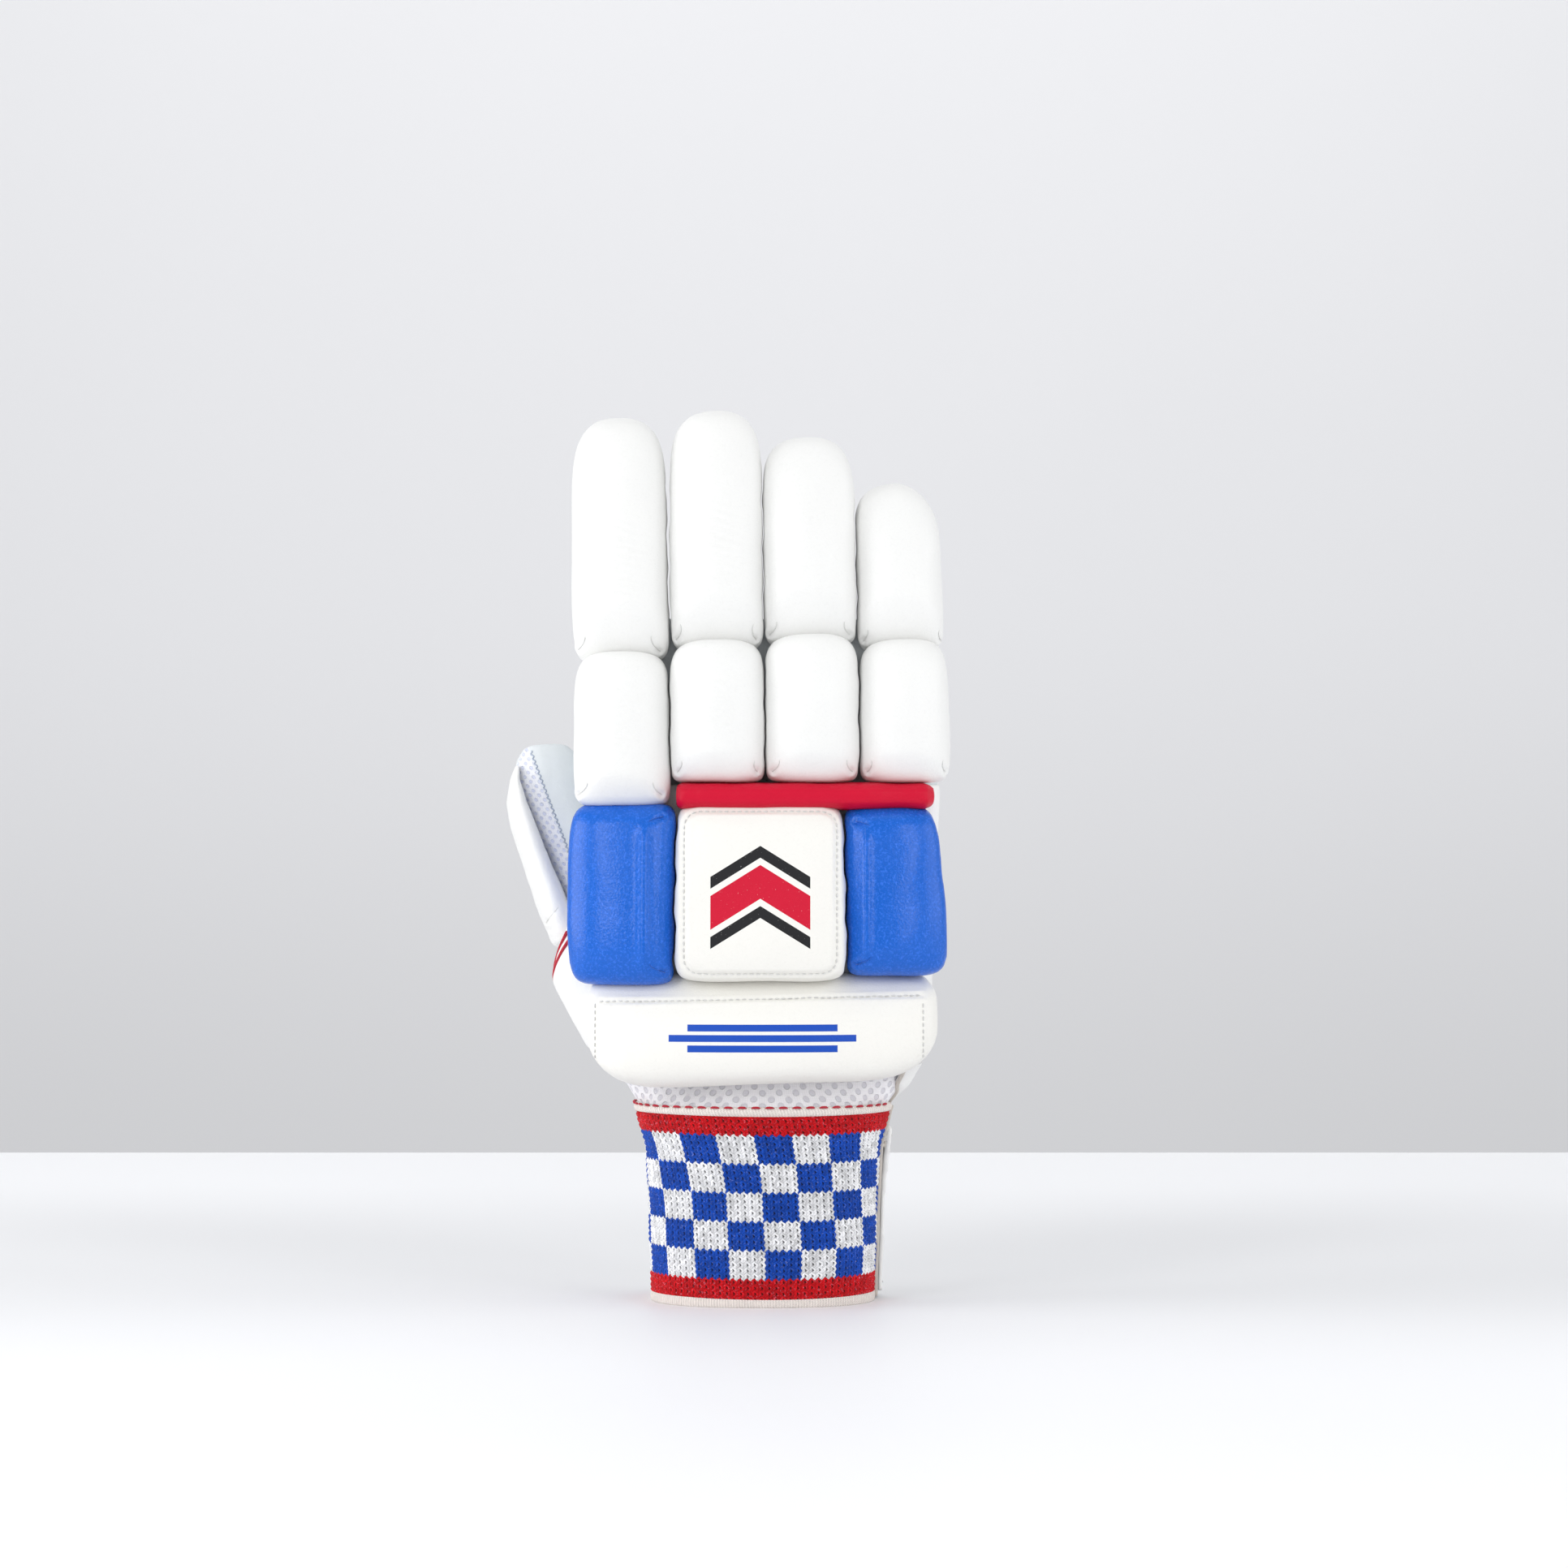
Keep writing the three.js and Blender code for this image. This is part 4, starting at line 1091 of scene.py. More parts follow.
class GLOVE_OT_back_pads(bpy.types.Operator):
    """Makes the three pads on the back of the hand and the bar over the knuckles"""
    bl_idname = "glove.back_pads"
    bl_label = "Back pads and bar"

    def execute(self, context):
        leather = settings()[0]
        left = self.pad("back_pad_index", leather, 0.9 * MM, 1.9 * MM, 20)
        centre = self.pad("back_pad_centre", leather, 1.0 * MM, 2.1 * MM, 25)
        right = self.pad("back_pad_little", leather, 0.9 * MM, 2.3 * MM, 21)
        ridge(left, "back_pad_index", 0.72, 1.9 * MM, 1.5 * MM)
        ridge(right, "back_pad_little", 0.20, 1.7 * MM, 1.5 * MM)
        meet(left, centre, (0.5 * MM, 0.3 * MM), 0.3 * MM, 1.0)
        meet(centre, right, (0.5 * MM, 0.3 * MM), 0.3 * MM, 2.0)
        round_off(left, "back_pad_index", 2.0 * MM, 2.0 * MM, 8 * MM)
        round_off(right, "back_pad_little", 2.0 * MM, 2.0 * MM, 8 * MM)
        threads = darts(left, "back_pad_index", [(0.90, 0.97, 0.76, 0.94), (0.92, 0.08, 0.77, 0.13)])
        threads += darts(right, "back_pad_little", [(0.10, 0.96, 0.24, 0.93), (0.10, 0.08, 0.25, 0.13)])
        thread_piece(threads, "back_pad_darts", "blue_thread", leather.blue, "blue_leather")
        # The blue leather gets painted glints.
        blue = coated_leather("blue_leather", leather.blue, 0.19, 0.42, 1.1, 0.34)
        piece(left, "index_back_pad", blue, "blue_leather", "back_pad_index", padded=0.9)
        piece(right, "little_back_pad", blue, "blue_leather", "back_pad_little", padded=0.9)
        self.welt(centre)
        self.bar(leather)
        return {"FINISHED"}

    def pad(self, node, leather, foot, head, seed):
        """One pad before it meets its neighbours, its foot and head moved up a little."""
        mesh = soft_copy(node, leather.voxel, 10, 1)
        fit(mesh, node, 0.7 * MM)
        stretch(mesh, foot, head)
        undulate(mesh, seed, 26 * MM, 0.3 * MM)
        return mesh

    def welt(self, mesh):
        """The sewn welt round the front of the white pad in the middle."""
        node = "back_pad_centre"
        middle, low, high = middle_of(node)
        middle[2] += 1.5 * MM
        half = (high - low) / 2
        path = rounded_box(middle, half[0] - 3.0 * MM, half[2] - 1.6 * MM, 5 * MM)
        press_seam(mesh, path, 0.8 * MM, 0.4 * MM, 0.6)
        material = printed_pad("printed_leather")
        piece(mesh, "centre_back_pad", material, "white_leather", node, padded=0.9)
        parts = sewn(tree_of(mesh), path, FRONT_VIEW, 0.7, 0.22 * MM)
        thread_piece(parts, "centre_pad_stitches", "white_thread", settings()[2].thread, "white_leather")

    def bar(self, leather):
        """The thin bar over the knuckles, pushed a little towards the little finger."""
        mesh = soft_copy("knuckle_bar", leather.voxel * 0.8, 6, 0)
        fit(mesh, "knuckle_bar", 0.5 * MM)
        points = points_of(mesh)
        points[:, 0] += KNUCKLE_SHIFT
        move_points(mesh, points)
        undulate(mesh, 31, 19 * MM, 0.3 * MM)
        red = coated_leather("red_leather", leather.red, 0.38, specular=0.2)
        piece(mesh, "knuckle_roll", red, "red_leather", "knuckle_bar", padded=0.9)


def rounded_box(middle, half_width, half_height, radius):
    """A level-sided loop with round corners about a middle, in the plane of the back of the hand."""
    path = []
    steps = 10
    for quarter, (sign_x, sign_z) in enumerate(((1, 1), (-1, 1), (-1, -1), (1, -1))):
        for i in range(steps + 1):
            turn = math.radians(90 * (quarter + i / steps))
            path.append([
                middle[0] + sign_x * (half_width - radius) + radius * math.cos(turn),
                middle[1],
                middle[2] + sign_z * (half_height - radius) + radius * math.sin(turn)])
    path.append(path[0])
    return even(path, 1.5 * MM)


class GLOVE_OT_guard(bpy.types.Operator):
    """Makes the padded guard over the back of the wrist, with its sewn edge"""
    bl_idname = "glove.guard"
    bl_label = "Wrist guard"

    def execute(self, context):
        leather, _, cloth, _ = settings()
        node = "wrist_guard"
        mesh = soft_copy(node, leather.voxel, 8, 1, 0.3 * MM)
        fit(mesh, node, 0.3 * MM)
        undulate(mesh, 41, 34 * MM, 0.4 * MM)
        middle, low, high = middle_of(node)
        height = high[2] - low[2]
        edge_z = low[2] + height * 0.89
        self.ledge(mesh, low[1], edge_z)
        across = np.linspace(low[0] + 4 * MM, high[0] - 4.5 * MM, 90)
        rise = 0.9 * MM * np.sin((across - middle[0]) / (high[0] - low[0]) * 3)
        path = np.stack([across, np.zeros(len(across)), edge_z + rise], axis=1)
        press_seam(mesh, path, 0.7 * MM, 0.5 * MM, 0.8)
        bars = [(-BAR_PITCH, 0.8), (0.0, 1.0), (BAR_PITCH, 0.8)]
        material = barred_leather("guard_leather", node, bars)
        piece(mesh, "guard_pad", material, "white_leather", node, padded=0.8)
        tree = tree_of(mesh)
        parts = sewn(tree, path, FRONT_VIEW, 0.7, 0.24 * MM)
        for x in (low[0] + 2.6 * MM, high[0] - 4.8 * MM):
            side = [[x, 0.0, z] for z in np.linspace(low[2] + 9 * MM, edge_z - 1 * MM, 20)]
            parts += sewn(tree, side, FRONT_VIEW, 0.7, 0.24 * MM)
        thread_piece(parts, "guard_stitches", "guard_thread", cloth.thread, "white_leather")
        return {"FINISHED"}

    def ledge(self, mesh, front, edge_z):
        """Raises the back of the guard's top, so that a ledge slopes up from the front edge to the pads."""
        points = points_of(mesh)
        back = smooth_step(front + 3 * MM, front + 20 * MM, points[:, 1])
        above = smooth_step(edge_z - 12 * MM, edge_z, points[:, 2])
        points[:, 2] += back * above * 4.0 * MM
        points[:, 1] -= (1 - back) * smooth_step(edge_z - 4 * MM, edge_z, points[:, 2]) * 1.2 * MM
        move_points(mesh, points)


# The hand and the stalls

def arc_field(points, centre, around, arc):
    """Each point's length round a ring about a centre, and its height, in metres."""
    angle = np.arctan2(points[:, 0] - centre[0], -(points[:, 1] - centre[1]))
    return np.stack([np.interp(angle, around, arc), points[:, 2], np.zeros(len(points))], axis=1)


def ring_arc(tree, centre, level):
    """The length round a solid at one height as a table over the angle from the front."""
    around = np.radians(np.linspace(-180, 180, 181))
    places = [hit[0] for hit in (cast_in(tree, centre, level, turn) for turn in around)]
    steps = np.linalg.norm(np.diff(places, axis=0), axis=1)
    arc = np.concatenate([[0.0], np.cumsum(steps)])
    return around, arc - np.interp(0.0, around, arc)


class GLOVE_OT_hand(bpy.types.Operator):
    """Makes the hollow hand: the back panel of leather and air mesh, and the palm"""
    bl_idname = "glove.hand"
    bl_label = "Hand"

    def execute(self, context):
        leather = settings()[0]
        cuff, _, cuff_high = middle_of("knit_band")
        back = soft_copy("back_panel", 1.0 * MM, 6, 0)
        fit(back, "back_panel", 0.2 * MM)
        around, arc = ring_arc(tree_of(back), cuff, cuff_high[2] + 8 * MM)
        points = points_of(back)
        store(back, "cloth", arc_field(points, cuff, around, arc))
        guard_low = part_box("wrist_guard")[0].z
        store(back, "mesh_mask", 1 - smooth_step(guard_low + 8 * MM, guard_low + 8.6 * MM, points[:, 2]))
        self.gathers(back, cuff_high[2])
        self.snug(back)
        swell_at(back, THENAR, THENAR_REACH, THENAR_SWELL)
        piece(back, "hand_back", hand_cloth("hand_cloth"), "mesh_fabric", "back_panel")
        palm = soft_copy("palm_panel", 1.0 * MM, 6, 0)
        fit(palm, "palm_panel", 0.2 * MM)
        self.patch(palm)
        self.palm_creases(palm)
        self.snug(palm)
        swell_at(palm, THENAR, THENAR_REACH, THENAR_SWELL)
        material = soft_leather("palm_leather", leather.palm)
        piece(palm, "hand_palm", material, "palm_leather", "palm_panel")
        self.palm_seams(palm)
        return {"FINISHED"}

    def gathers(self, mesh, foot):
        """Small upright folds where the air mesh is gathered into the cuff."""
        points = points_of(mesh)
        mask = 1 - smooth_step(foot, foot + 14 * MM, points[:, 2])
        drift = np.sin(points[:, 0] / (21 * MM)) * 2
        wave = np.sin(points[:, 0] / (8.5 * MM) * math.tau + drift)
        push(mesh, wave * mask * 0.35 * MM)

    def snug(self, mesh):
        """Draws the top of the hand in round the stalls' feet, and a little up over them."""
        points = points_of(mesh)
        low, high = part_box("palm_panel")
        left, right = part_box("index_stall")[0].x - 1 * MM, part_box("little_stall")[1].x
        head = smooth_step(high.z - 15 * MM, high.z - 1 * MM, points[:, 2])
        width = (points[:, 0] - low.x) / (high.x - low.x)
        points[:, 0] += head * (left + width * (right - left) - points[:, 0])
        points[:, 1] -= head * smooth_step(10 * MM, 30 * MM, points[:, 1]) * 3.4 * MM
        points[:, 2] += head * 2.6 * MM
        move_points(mesh, points)

    def patch(self, mesh):
        """Raises the second layer of leather that is sewn on the palm."""
        middle, low, high = middle_of("palm_panel")
        half = (high - low) / 2 - PATCH_INSET
        gap = np.abs(points_of(mesh) - middle - PATCH_PLACE) - half + PATCH_CORNER
        beyond = np.hypot(np.maximum(gap[:, 0], 0), np.maximum(gap[:, 2], 0)) - PATCH_CORNER
        lift = smooth_step(0.6 * MM, -0.9 * MM, beyond) * smooth_step(0.1, 0.5, normals_of(mesh)[:, 1])
        push(mesh, lift * PATCH_RISE)

    def palm_creases(self, mesh):
        """The soft folds across an empty palm."""
        _, low, high = middle_of("palm_panel")
        size = high - low
        tree = tree_of(mesh)
        points, normals = points_of(mesh), normals_of(mesh)
        folds = [
            [(0.14, 0.62), (0.34, 0.66), (0.56, 0.76), (0.80, 0.80)],
            [(0.18, 0.56), (0.40, 0.52), (0.60, 0.44), (0.74, 0.30)],
            [(0.22, 0.50), (0.34, 0.36), (0.40, 0.20)],
        ]
        for fold in folds:
            path = [[low[0] + x * size[0], 0.0, low[2] + z * size[2]] for x, z in fold]
            places, _ = laid(tree, even(path, 3 * MM), BACK_VIEW)
            points = crease(points, normals, places, 2.2 * MM, 1.1 * MM, 0.6, fade=(1.0, 0.3))
        move_points(mesh, points)

    def palm_seams(self, mesh):
        """Two rows of stitches round the patch of leather on the palm."""
        middle, low, high = middle_of("palm_panel")
        tree = tree_of(mesh)
        parts = []
        for inset in (9 * MM, 11.5 * MM):
            half_width = (high[0] - low[0]) / 2 - inset - 6 * MM
            half_height = (high[2] - low[2]) / 2 - inset - 10 * MM
            path = rounded_box(middle + PATCH_PLACE, half_width, half_height, 16 * MM)
            parts += sewn(tree, path, BACK_VIEW, 0.66, 0.25 * MM)
        thread_piece(parts, "palm_stitches", "palm_thread", settings()[2].thread, "palm_leather")


class GLOVE_OT_stalls(bpy.types.Operator):
    """Makes the stalls of the fingers, with their seams and the leather between them"""
    bl_idname = "glove.stalls"
    bl_label = "Finger stalls"

    def execute(self, context):
        leather, _, cloth, _ = settings()
        material = soft_leather("stall_leather", leather.palm)
        thread = woven_tape("stall_thread", cloth.thread)
        for number, finger in enumerate(FINGERS):
            node = f"{finger}_stall"
            mesh = through(welded(node), ("SUBSURF", {"levels": 3, "render_levels": 3}))
            stretch(mesh, -STALL_LAP, 0.0)
            self.tuck_foot(mesh, node)
            self.joints(mesh, node, number)
            piece(mesh, f"{finger}_tube", material, "palm_leather", node)
            tree = tree_of(mesh)
            middle, low, high = middle_of(node)
            parts = []
            for side in (-0.30, 0.30):
                x = middle[0] + side * (high[0] - low[0])
                path = [[x, 0.0, z] for z in np.linspace(low[2] + 3 * MM, high[2] - 9 * MM, 60)]
                parts += sewn(tree, path, BACK_VIEW, 0.66, 0.24 * MM)
            piece(joined(parts), f"{finger}_seams", thread, "palm_leather")
        for left, right in zip(FINGERS, FINGERS[1:]):
            self.web(left, right, material)
        return {"FINISHED"}

    def tuck_foot(self, mesh, node):
        """Draws the foot of a stall in, so that it ends inside the palm."""
        points = points_of(mesh)
        foot = points[:, 2].min()
        share = smooth_step(foot + 9.5 * MM, foot + 4 * MM, points[:, 2]) * 0.42
        inward = (middle_of(node)[0] - points) * np.array([1, 1, 0])
        move_points(mesh, points + inward * share[:, None])

    def web(self, left, right, material):
        """The leather between the feet of two stalls, with a saddle at its head."""
        _, left_low, left_high = middle_of(f"{left}_stall")
        right_low = middle_of(f"{right}_stall")[1]
        sides = left_high[0] - 2 * MM, right_low[0] + 2 * MM
        front, rear = left_low[1] + 3 * MM, left_low[1] + 17 * MM
        foot, head = left_low[2] - 2 * MM, left_low[2] + 61 * MM
        rows, columns = 24, 9
        points = []
        for z in np.linspace(foot, head, rows):
            share = (z - foot) / (head - foot)
            depth = math.sqrt(max(0.0, 1 - share ** 6))
            for x in np.linspace(*sides, columns):
                bow = 1.5 * MM * (1 - (2 * (x - sides[0]) / (sides[1] - sides[0]) - 1) ** 2)
                sag = bow * 3.0 * share ** 4
                points.append((x, (front + rear) / 2 - ((rear - front) / 2 - bow) * depth, z - sag))
        near = np.array(points)
        far = near * [1, -1, 1] + [0, front + rear, 0]
        mesh = joined([(np.concatenate([near, far]), slab_faces(rows, columns))])
        piece(mesh, f"{left}_{right}_web", material, "palm_leather")

    def joints(self, mesh, node, number):
        """Soft folds across the palm side of a stall, where a finger bends."""
        _, across, height = in_box(mesh, node)
        behind = smooth_step(-0.2, 0.6, normals_of(mesh)[:, 1])
        fold = np.zeros(len(height))
        bends = ((0.30, 0.020, 0.9), (0.345, 0.016, 0.6), (0.60, 0.018, 0.8), (0.64, 0.014, 0.5))
        for at, width, depth in bends:
            bend = at + 0.012 * math.sin(number * 1.7 + at * 20)
            bow = 0.005 * across ** 2
            fold -= depth * np.exp(-(((height - bend - bow) / width) ** 2))
        swell = 0.25 * np.sin(height * 26 + number)
        push(mesh, (fold + swell) * behind * 0.8 * MM)


class GLOVE_OT_thumb(bpy.types.Operator):
    """Makes the thumb: its stall with the strip of air mesh, its padded roll and the overlocked seam"""
    bl_idname = "glove.thumb"
    bl_label = "Thumb"

    def execute(self, context):
        leather, _, cloth, _ = settings()
        self.padded_roll(leather, cloth)
        stall = soft_copy("thumb_stall", 0.85 * MM, 8, 0)
        fit(stall, "thumb_stall", 0.2 * MM)
        stretch(stall, 0.0, 2.6 * MM)
        points = points_of(stall)
        flare = smooth_step(*FLARE_LEVELS, points[:, 2]) * smooth_step(*FLARE_SIDES, points[:, 0])
        points[:, 0] -= FLARE * flare
        move_points(stall, points)
        front = smooth_step(4 * MM, -2 * MM, points[:, 1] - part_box("thumb_stall")[0].y - 10 * MM)
        beyond = points[:, 0] - self.strip_edge(points[:, 2])
        store(stall, "mesh_mask", smooth_step(0.4 * MM, -0.4 * MM, beyond) * np.ceil(front))
        across = points[:, 0] + points[:, 2] * 0.3
        store(stall, "cloth", np.stack([across, points[:, 2], points[:, 1]], axis=1))
        piece(stall, "thumb_tube", thumb_cloth("thumb_cloth"), "palm_leather", "thumb_stall")
        self.overlock(stall, cloth)
        return {"FINISHED"}

    def padded_roll(self, leather, cloth):
        """The padded roll with its dart."""
        roll = soft_copy("thumb_roll", leather.voxel, 14, 1)
        fit(roll, "thumb_roll", 0.5 * MM)
        stretch(roll, 2.0 * MM, -2.4 * MM)
        self.lean(roll)
        undulate(roll, 51, 26 * MM, 0.3 * MM)
        seam = darts(roll, "thumb_roll", [(0.50, 0.09, 0.86, 0.24)], 0.7 * MM)
        thread_piece(seam, "thumb_dart", "thumb_thread", cloth.thread, "white_leather")
        white = coated_leather("thumb_leather", leather.white)
        piece(roll, "thumb_pad", white, "white_leather", "thumb_roll", padded=0.9)

    def strip_edge(self, level):
        """Where the air mesh meets the palm's leather, at each height."""
        return STRIP_TOP[0] + (STRIP_TOP[1] - level) * STRIP_SLANT

    def lean(self, mesh):
        """Moves the roll's two sides onto their lines, which lean to the right at its foot."""
        points = points_of(mesh)
        left, right = self.sides(points)
        levels = points[:, 2] / MM
        new_left, new_right = [np.interp(levels, ROLL_LEVELS, side) * MM for side in (ROLL_LEFT, ROLL_RIGHT)]
        points[:, 0] = new_left + (points[:, 0] - left) / (right - left) * (new_right - new_left)
        move_points(mesh, points)

    def sides(self, points):
        """The roll's left and right side at each point's height."""
        level = points[:, 2]
        marks = np.linspace(level.min(), level.max(), 30)
        left, right = [], []
        for mark in marks:
            near = points[np.abs(level - mark) < 2.5 * MM]
            left.append(near[:, 0].min())
            right.append(near[:, 0].max())
        return np.interp(level, marks, left), np.interp(level, marks, right)

    def overlock(self, stall, cloth):
        """The scalloped thread between the air mesh and the palm's leather."""
        tree = tree_of(stall)
        heights = np.linspace(141 * MM, 179 * MM, 150)
        scallop = np.abs(np.sin(np.arange(len(heights)) / 2.0)) * 0.9 * MM
        levels = np.column_stack([self.strip_edge(heights) + scallop, np.zeros(len(heights)), heights])
        places, _ = laid(tree, levels, FRONT_VIEW)
        parts = [tube(even(places, 0.35 * MM), 0.26 * MM, 6)]
        thread_piece(parts, "thumb_overlock", "overlock_thread", cloth.overlock, "palm_leather")


# The cuff

def band_table(tree, centre, levels, angles):
    """The band's outer radius at each height and angle from the front, filled in where no ray meets it."""
    table = []
    for level in levels:
        hits = [cast_in(tree, centre, level, turn, 0.09) for turn in angles]
        known = [k for k, hit in enumerate(hits) if hit]
        reach = [np.hypot(*(hits[k][0][:2] - centre[:2])) for k in known]
        table.append(np.interp(angles, angles[known], reach))
    kernel = np.array([1, 2, 3, 2, 1]) / 9.0
    padded = np.pad(np.array(table), ((0, 0), (2, 2)), mode="edge")
    return np.stack([np.convolve(row, kernel, mode="valid") for row in padded])


class GLOVE_OT_cuff(bpy.types.Operator):
    """Makes the knitted band stitch by stitch, with its binding, its red sewing and the heel's flap"""
    bl_idname = "glove.cuff"
    bl_label = "Knitted cuff"

    def execute(self, context):
        _, knit, cloth, _ = settings()
        node = "knit_band"
        centre, _, high = middle_of(node)
        angles = np.radians(np.linspace(BAND_FROM, BAND_TO, 240))
        levels = np.linspace(0.6 * MM, high[2] - 0.9 * MM, 24)
        radius = band_table(tree_of(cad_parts[node].data), centre, levels, angles)
        top = high[2] + KNIT_RISE
        self.knit_mesh(knit, angles, levels, radius, centre, top)
        self.binding(cloth)
        self.top_thread(cloth, angles, radius[-1], centre, top)
        self.heel_flap(centre)
        return {"FINISHED"}

    def knit_mesh(self, knit, angles, levels, radius, centre, top):
        """The band's outside in stitches, closed over its rolled edges and a plain inside."""
        mid = radius[len(levels) // 2]
        steps = np.hypot(np.diff(mid * np.sin(angles)), np.diff(mid * np.cos(angles)))
        arc = np.concatenate([[0.0], np.cumsum(steps)])
        arc -= np.interp(0.0, angles, arc)
        columns = int((arc[-1] - arc[0]) / knit.wale * 6) // 4 * 4 + 1
        rows = int(top / knit.course * 5) // 4 * 4 + 1
        grid_arc, grid_up = np.meshgrid(np.linspace(arc[0], arc[-1], columns), np.linspace(0.0, top, rows))
        grid_turn = np.interp(grid_arc, arc, angles)
        base = bilinear(levels, angles, radius, grid_up, grid_turn)
        checks = CHECK_ROWS * knit.check_stitches * knit.course
        share = (grid_up - knit.checks_foot) / checks
        drift = 0.35 * MM * np.sin(grid_arc / (19 * MM) + 2 * np.sin(grid_up / (11 * MM)))
        across = grid_arc + CHECK_START - CHECK_SLANT * (1 - share ** 2) + drift
        up = grid_up + 0.25 * MM * np.sin(grid_arc / (14 * MM) + 1.3)
        cloth = np.stack([across, up, np.zeros(across.shape)], axis=-1)
        yarn = (up > CREAM_FOOT) * (up < top - CREAM_HEAD)
        outside = base + self.relief(knit, across, up) * yarn + self.rolled(grid_up, top)
        places = [polar(centre, grid_turn, grid_up, edge) for edge in (outside, base - BAND_THICK)]
        points = taper(np.concatenate([p.reshape(-1, 3) for p in places]), centre)
        mesh = joined([(points, slab_faces(rows, columns, coarse_faces(rows, columns, 4)))])
        store(mesh, "cloth", np.concatenate([cloth.reshape(-1, 3)] * 2))
        drop_loose(mesh)
        piece(mesh, "cuff_knit", knit_yarn("knit_yarn"), "knit_band", "knit_band")

    def relief(self, knit, across, up):
        """How far the yarn stands out: two leaning plump arms to a stitch."""
        zig = np.abs((up / knit.course) % 1.0 - 0.5) - 0.25
        inside = np.abs((across / knit.wale + zig * KNIT_ZIG) % 1.0 - 0.5)
        turn = ((up - knit.checks_foot) / knit.course + inside * KNIT_LEAN) % 1.0
        arm = np.exp(-(((inside - 0.26) / 0.16) ** 2))
        return (arm * np.sin(np.pi * turn) ** 0.5 - 0.45) * knit.loft

    def rolled(self, up, top):
        """The rolled edges at the foot and at the top."""
        foot = np.clip(1 - ((up - CREAM_FOOT / 2) / (CREAM_FOOT / 2)) ** 2, 0, 1) ** 0.5 * 0.3
        head = np.clip(1 - ((up - (top - CREAM_HEAD / 2)) / (CREAM_HEAD / 2)) ** 2, 0, 1) ** 0.5 * 0.9
        return (foot + head - 0.35) * MM

    def binding(self, cloth):
        """The tape over the end of the band."""
        mesh = soft_copy("band_binding", 0.45 * MM, 6, 0, 0.1 * MM)
        move_points(mesh, taper(points_of(mesh), middle_of("knit_band")[0]))
        piece(mesh, "cuff_binding", woven_tape("binding_tape", cloth.tape), "binding", "band_binding")

    def heel_flap(self, centre):
        """The edge of the palm's leather that wraps round the right of the wrist and down to the strap."""
        names = ("hand_back", "hand_palm", "cuff_knit")
        trees = [tree_of(bpy.data.objects[name].data) for name in names]
        levels = np.linspace(*FLAP_SPAN, FLAP_ROWS)
        edge = np.interp(levels / MM, FLAP_LEVELS, FLAP_EDGE) * MM
        sweep = np.radians(np.arange(FLAP_SWEEP[0], FLAP_SWEEP[1] + 1))
        radii, firsts = [], []
        for level, start in zip(levels, edge):
            radius = []
            for turn in sweep:
                hits = [cast_in(tree, centre, level, turn, 0.1) for tree in trees]
                reach = [np.hypot(*(hit[0][:2] - centre[:2])) for hit in hits if hit]
                radius.append(max(reach, default=40 * MM))
            radii.append(smoothed(radius, 4))
            across = centre[0] + radii[-1] * np.sin(sweep)
            firsts.append(np.interp(start, across[:-20], sweep[:-20]))
        outer, inner = [], []
        roll = np.clip(np.linspace(0, 9, FLAP_COLUMNS), 0, 1) ** 0.5
        for level, radius, first in zip(levels, radii, smoothed(firsts, 3)):
            turns = np.linspace(first, sweep[-1], FLAP_COLUMNS)
            reach = np.interp(turns, sweep, radius)
            height = np.full(FLAP_COLUMNS, level)
            outer.append(polar(centre, turns, height, reach + (0.2 + 1.2 * roll) * MM))
            inner.append(polar(centre, turns, height, reach - 0.8 * MM))
        points = np.array([outer, inner]).reshape(-1, 3)
        mesh = joined([(points, slab_faces(FLAP_ROWS, FLAP_COLUMNS))])
        leather, _, cloth, _ = settings()
        piece(mesh, "heel_flap", soft_leather("heel_leather", leather.white), "palm_leather")
        tape = [line[0] for line in outer]
        self.loose_yarn(np.array(tape[2]), cloth)
        cord = [tube(even(tape, 0.6 * MM), 0.75 * MM, 8)]
        thread_piece(cord, "heel_binding", "heel_tape", cloth.tape, "binding")

    def loose_yarn(self, start, cloth):
        """A few loose ends of white yarn at the strap's upper corner."""
        rng = np.random.default_rng(7)
        parts = []
        for _ in range(7):
            reach = np.array([rng.uniform(*span) for span in ((1.5, 3.6), (-1.2, 0.4), (-2.6, 1.6))]) * MM
            curl = rng.normal(size=3) * 0.5 * MM
            steps = np.linspace(0, 1, 9)[:, None]
            path = start + np.array([1.2, -0.4, 0.6]) * MM + reach * steps + curl * np.sin(steps * math.pi)
            parts.append(tube(path, 0.09 * MM, 5))
        thread_piece(parts, "loose_yarn", "loose_thread", cloth.thread, "binding")

    def top_thread(self, cloth, angles, radius, centre, top):
        """Long red stitches along the cuff's top edge."""
        run = slice(THREAD_TRIM, -THREAD_TRIM)
        turn = angles[run]
        places = polar(centre, turn, np.full(len(turn), top - 0.3 * MM), radius[run] + 0.25 * MM)
        normals = polar(np.zeros(3), turn, np.zeros(len(turn)), np.ones(len(turn)))
        normals[:, 2] = 0.8
        parts = stitches(places, normals, 4.4 * MM, 0.72, 0.42 * MM)
        thread_piece(parts, "cuff_thread", "red_thread", cloth.piping, "piping")


def taper(points, centre):
    """Draws the cuff in a little towards its foot, as the worn knit does."""
    draw = 1 - 0.045 * (1 - smooth_step(0.0, 30 * MM, points[:, 2]))
    points[:, 0] = centre[0] + (points[:, 0] - centre[0]) * draw
    return points


def polar(centre, turn, up, radius):
    """Places given by an angle from the front, a height and a radius."""
    return np.stack([centre[0] + radius * np.sin(turn), centre[1] - radius * np.cos(turn), up], axis=-1)


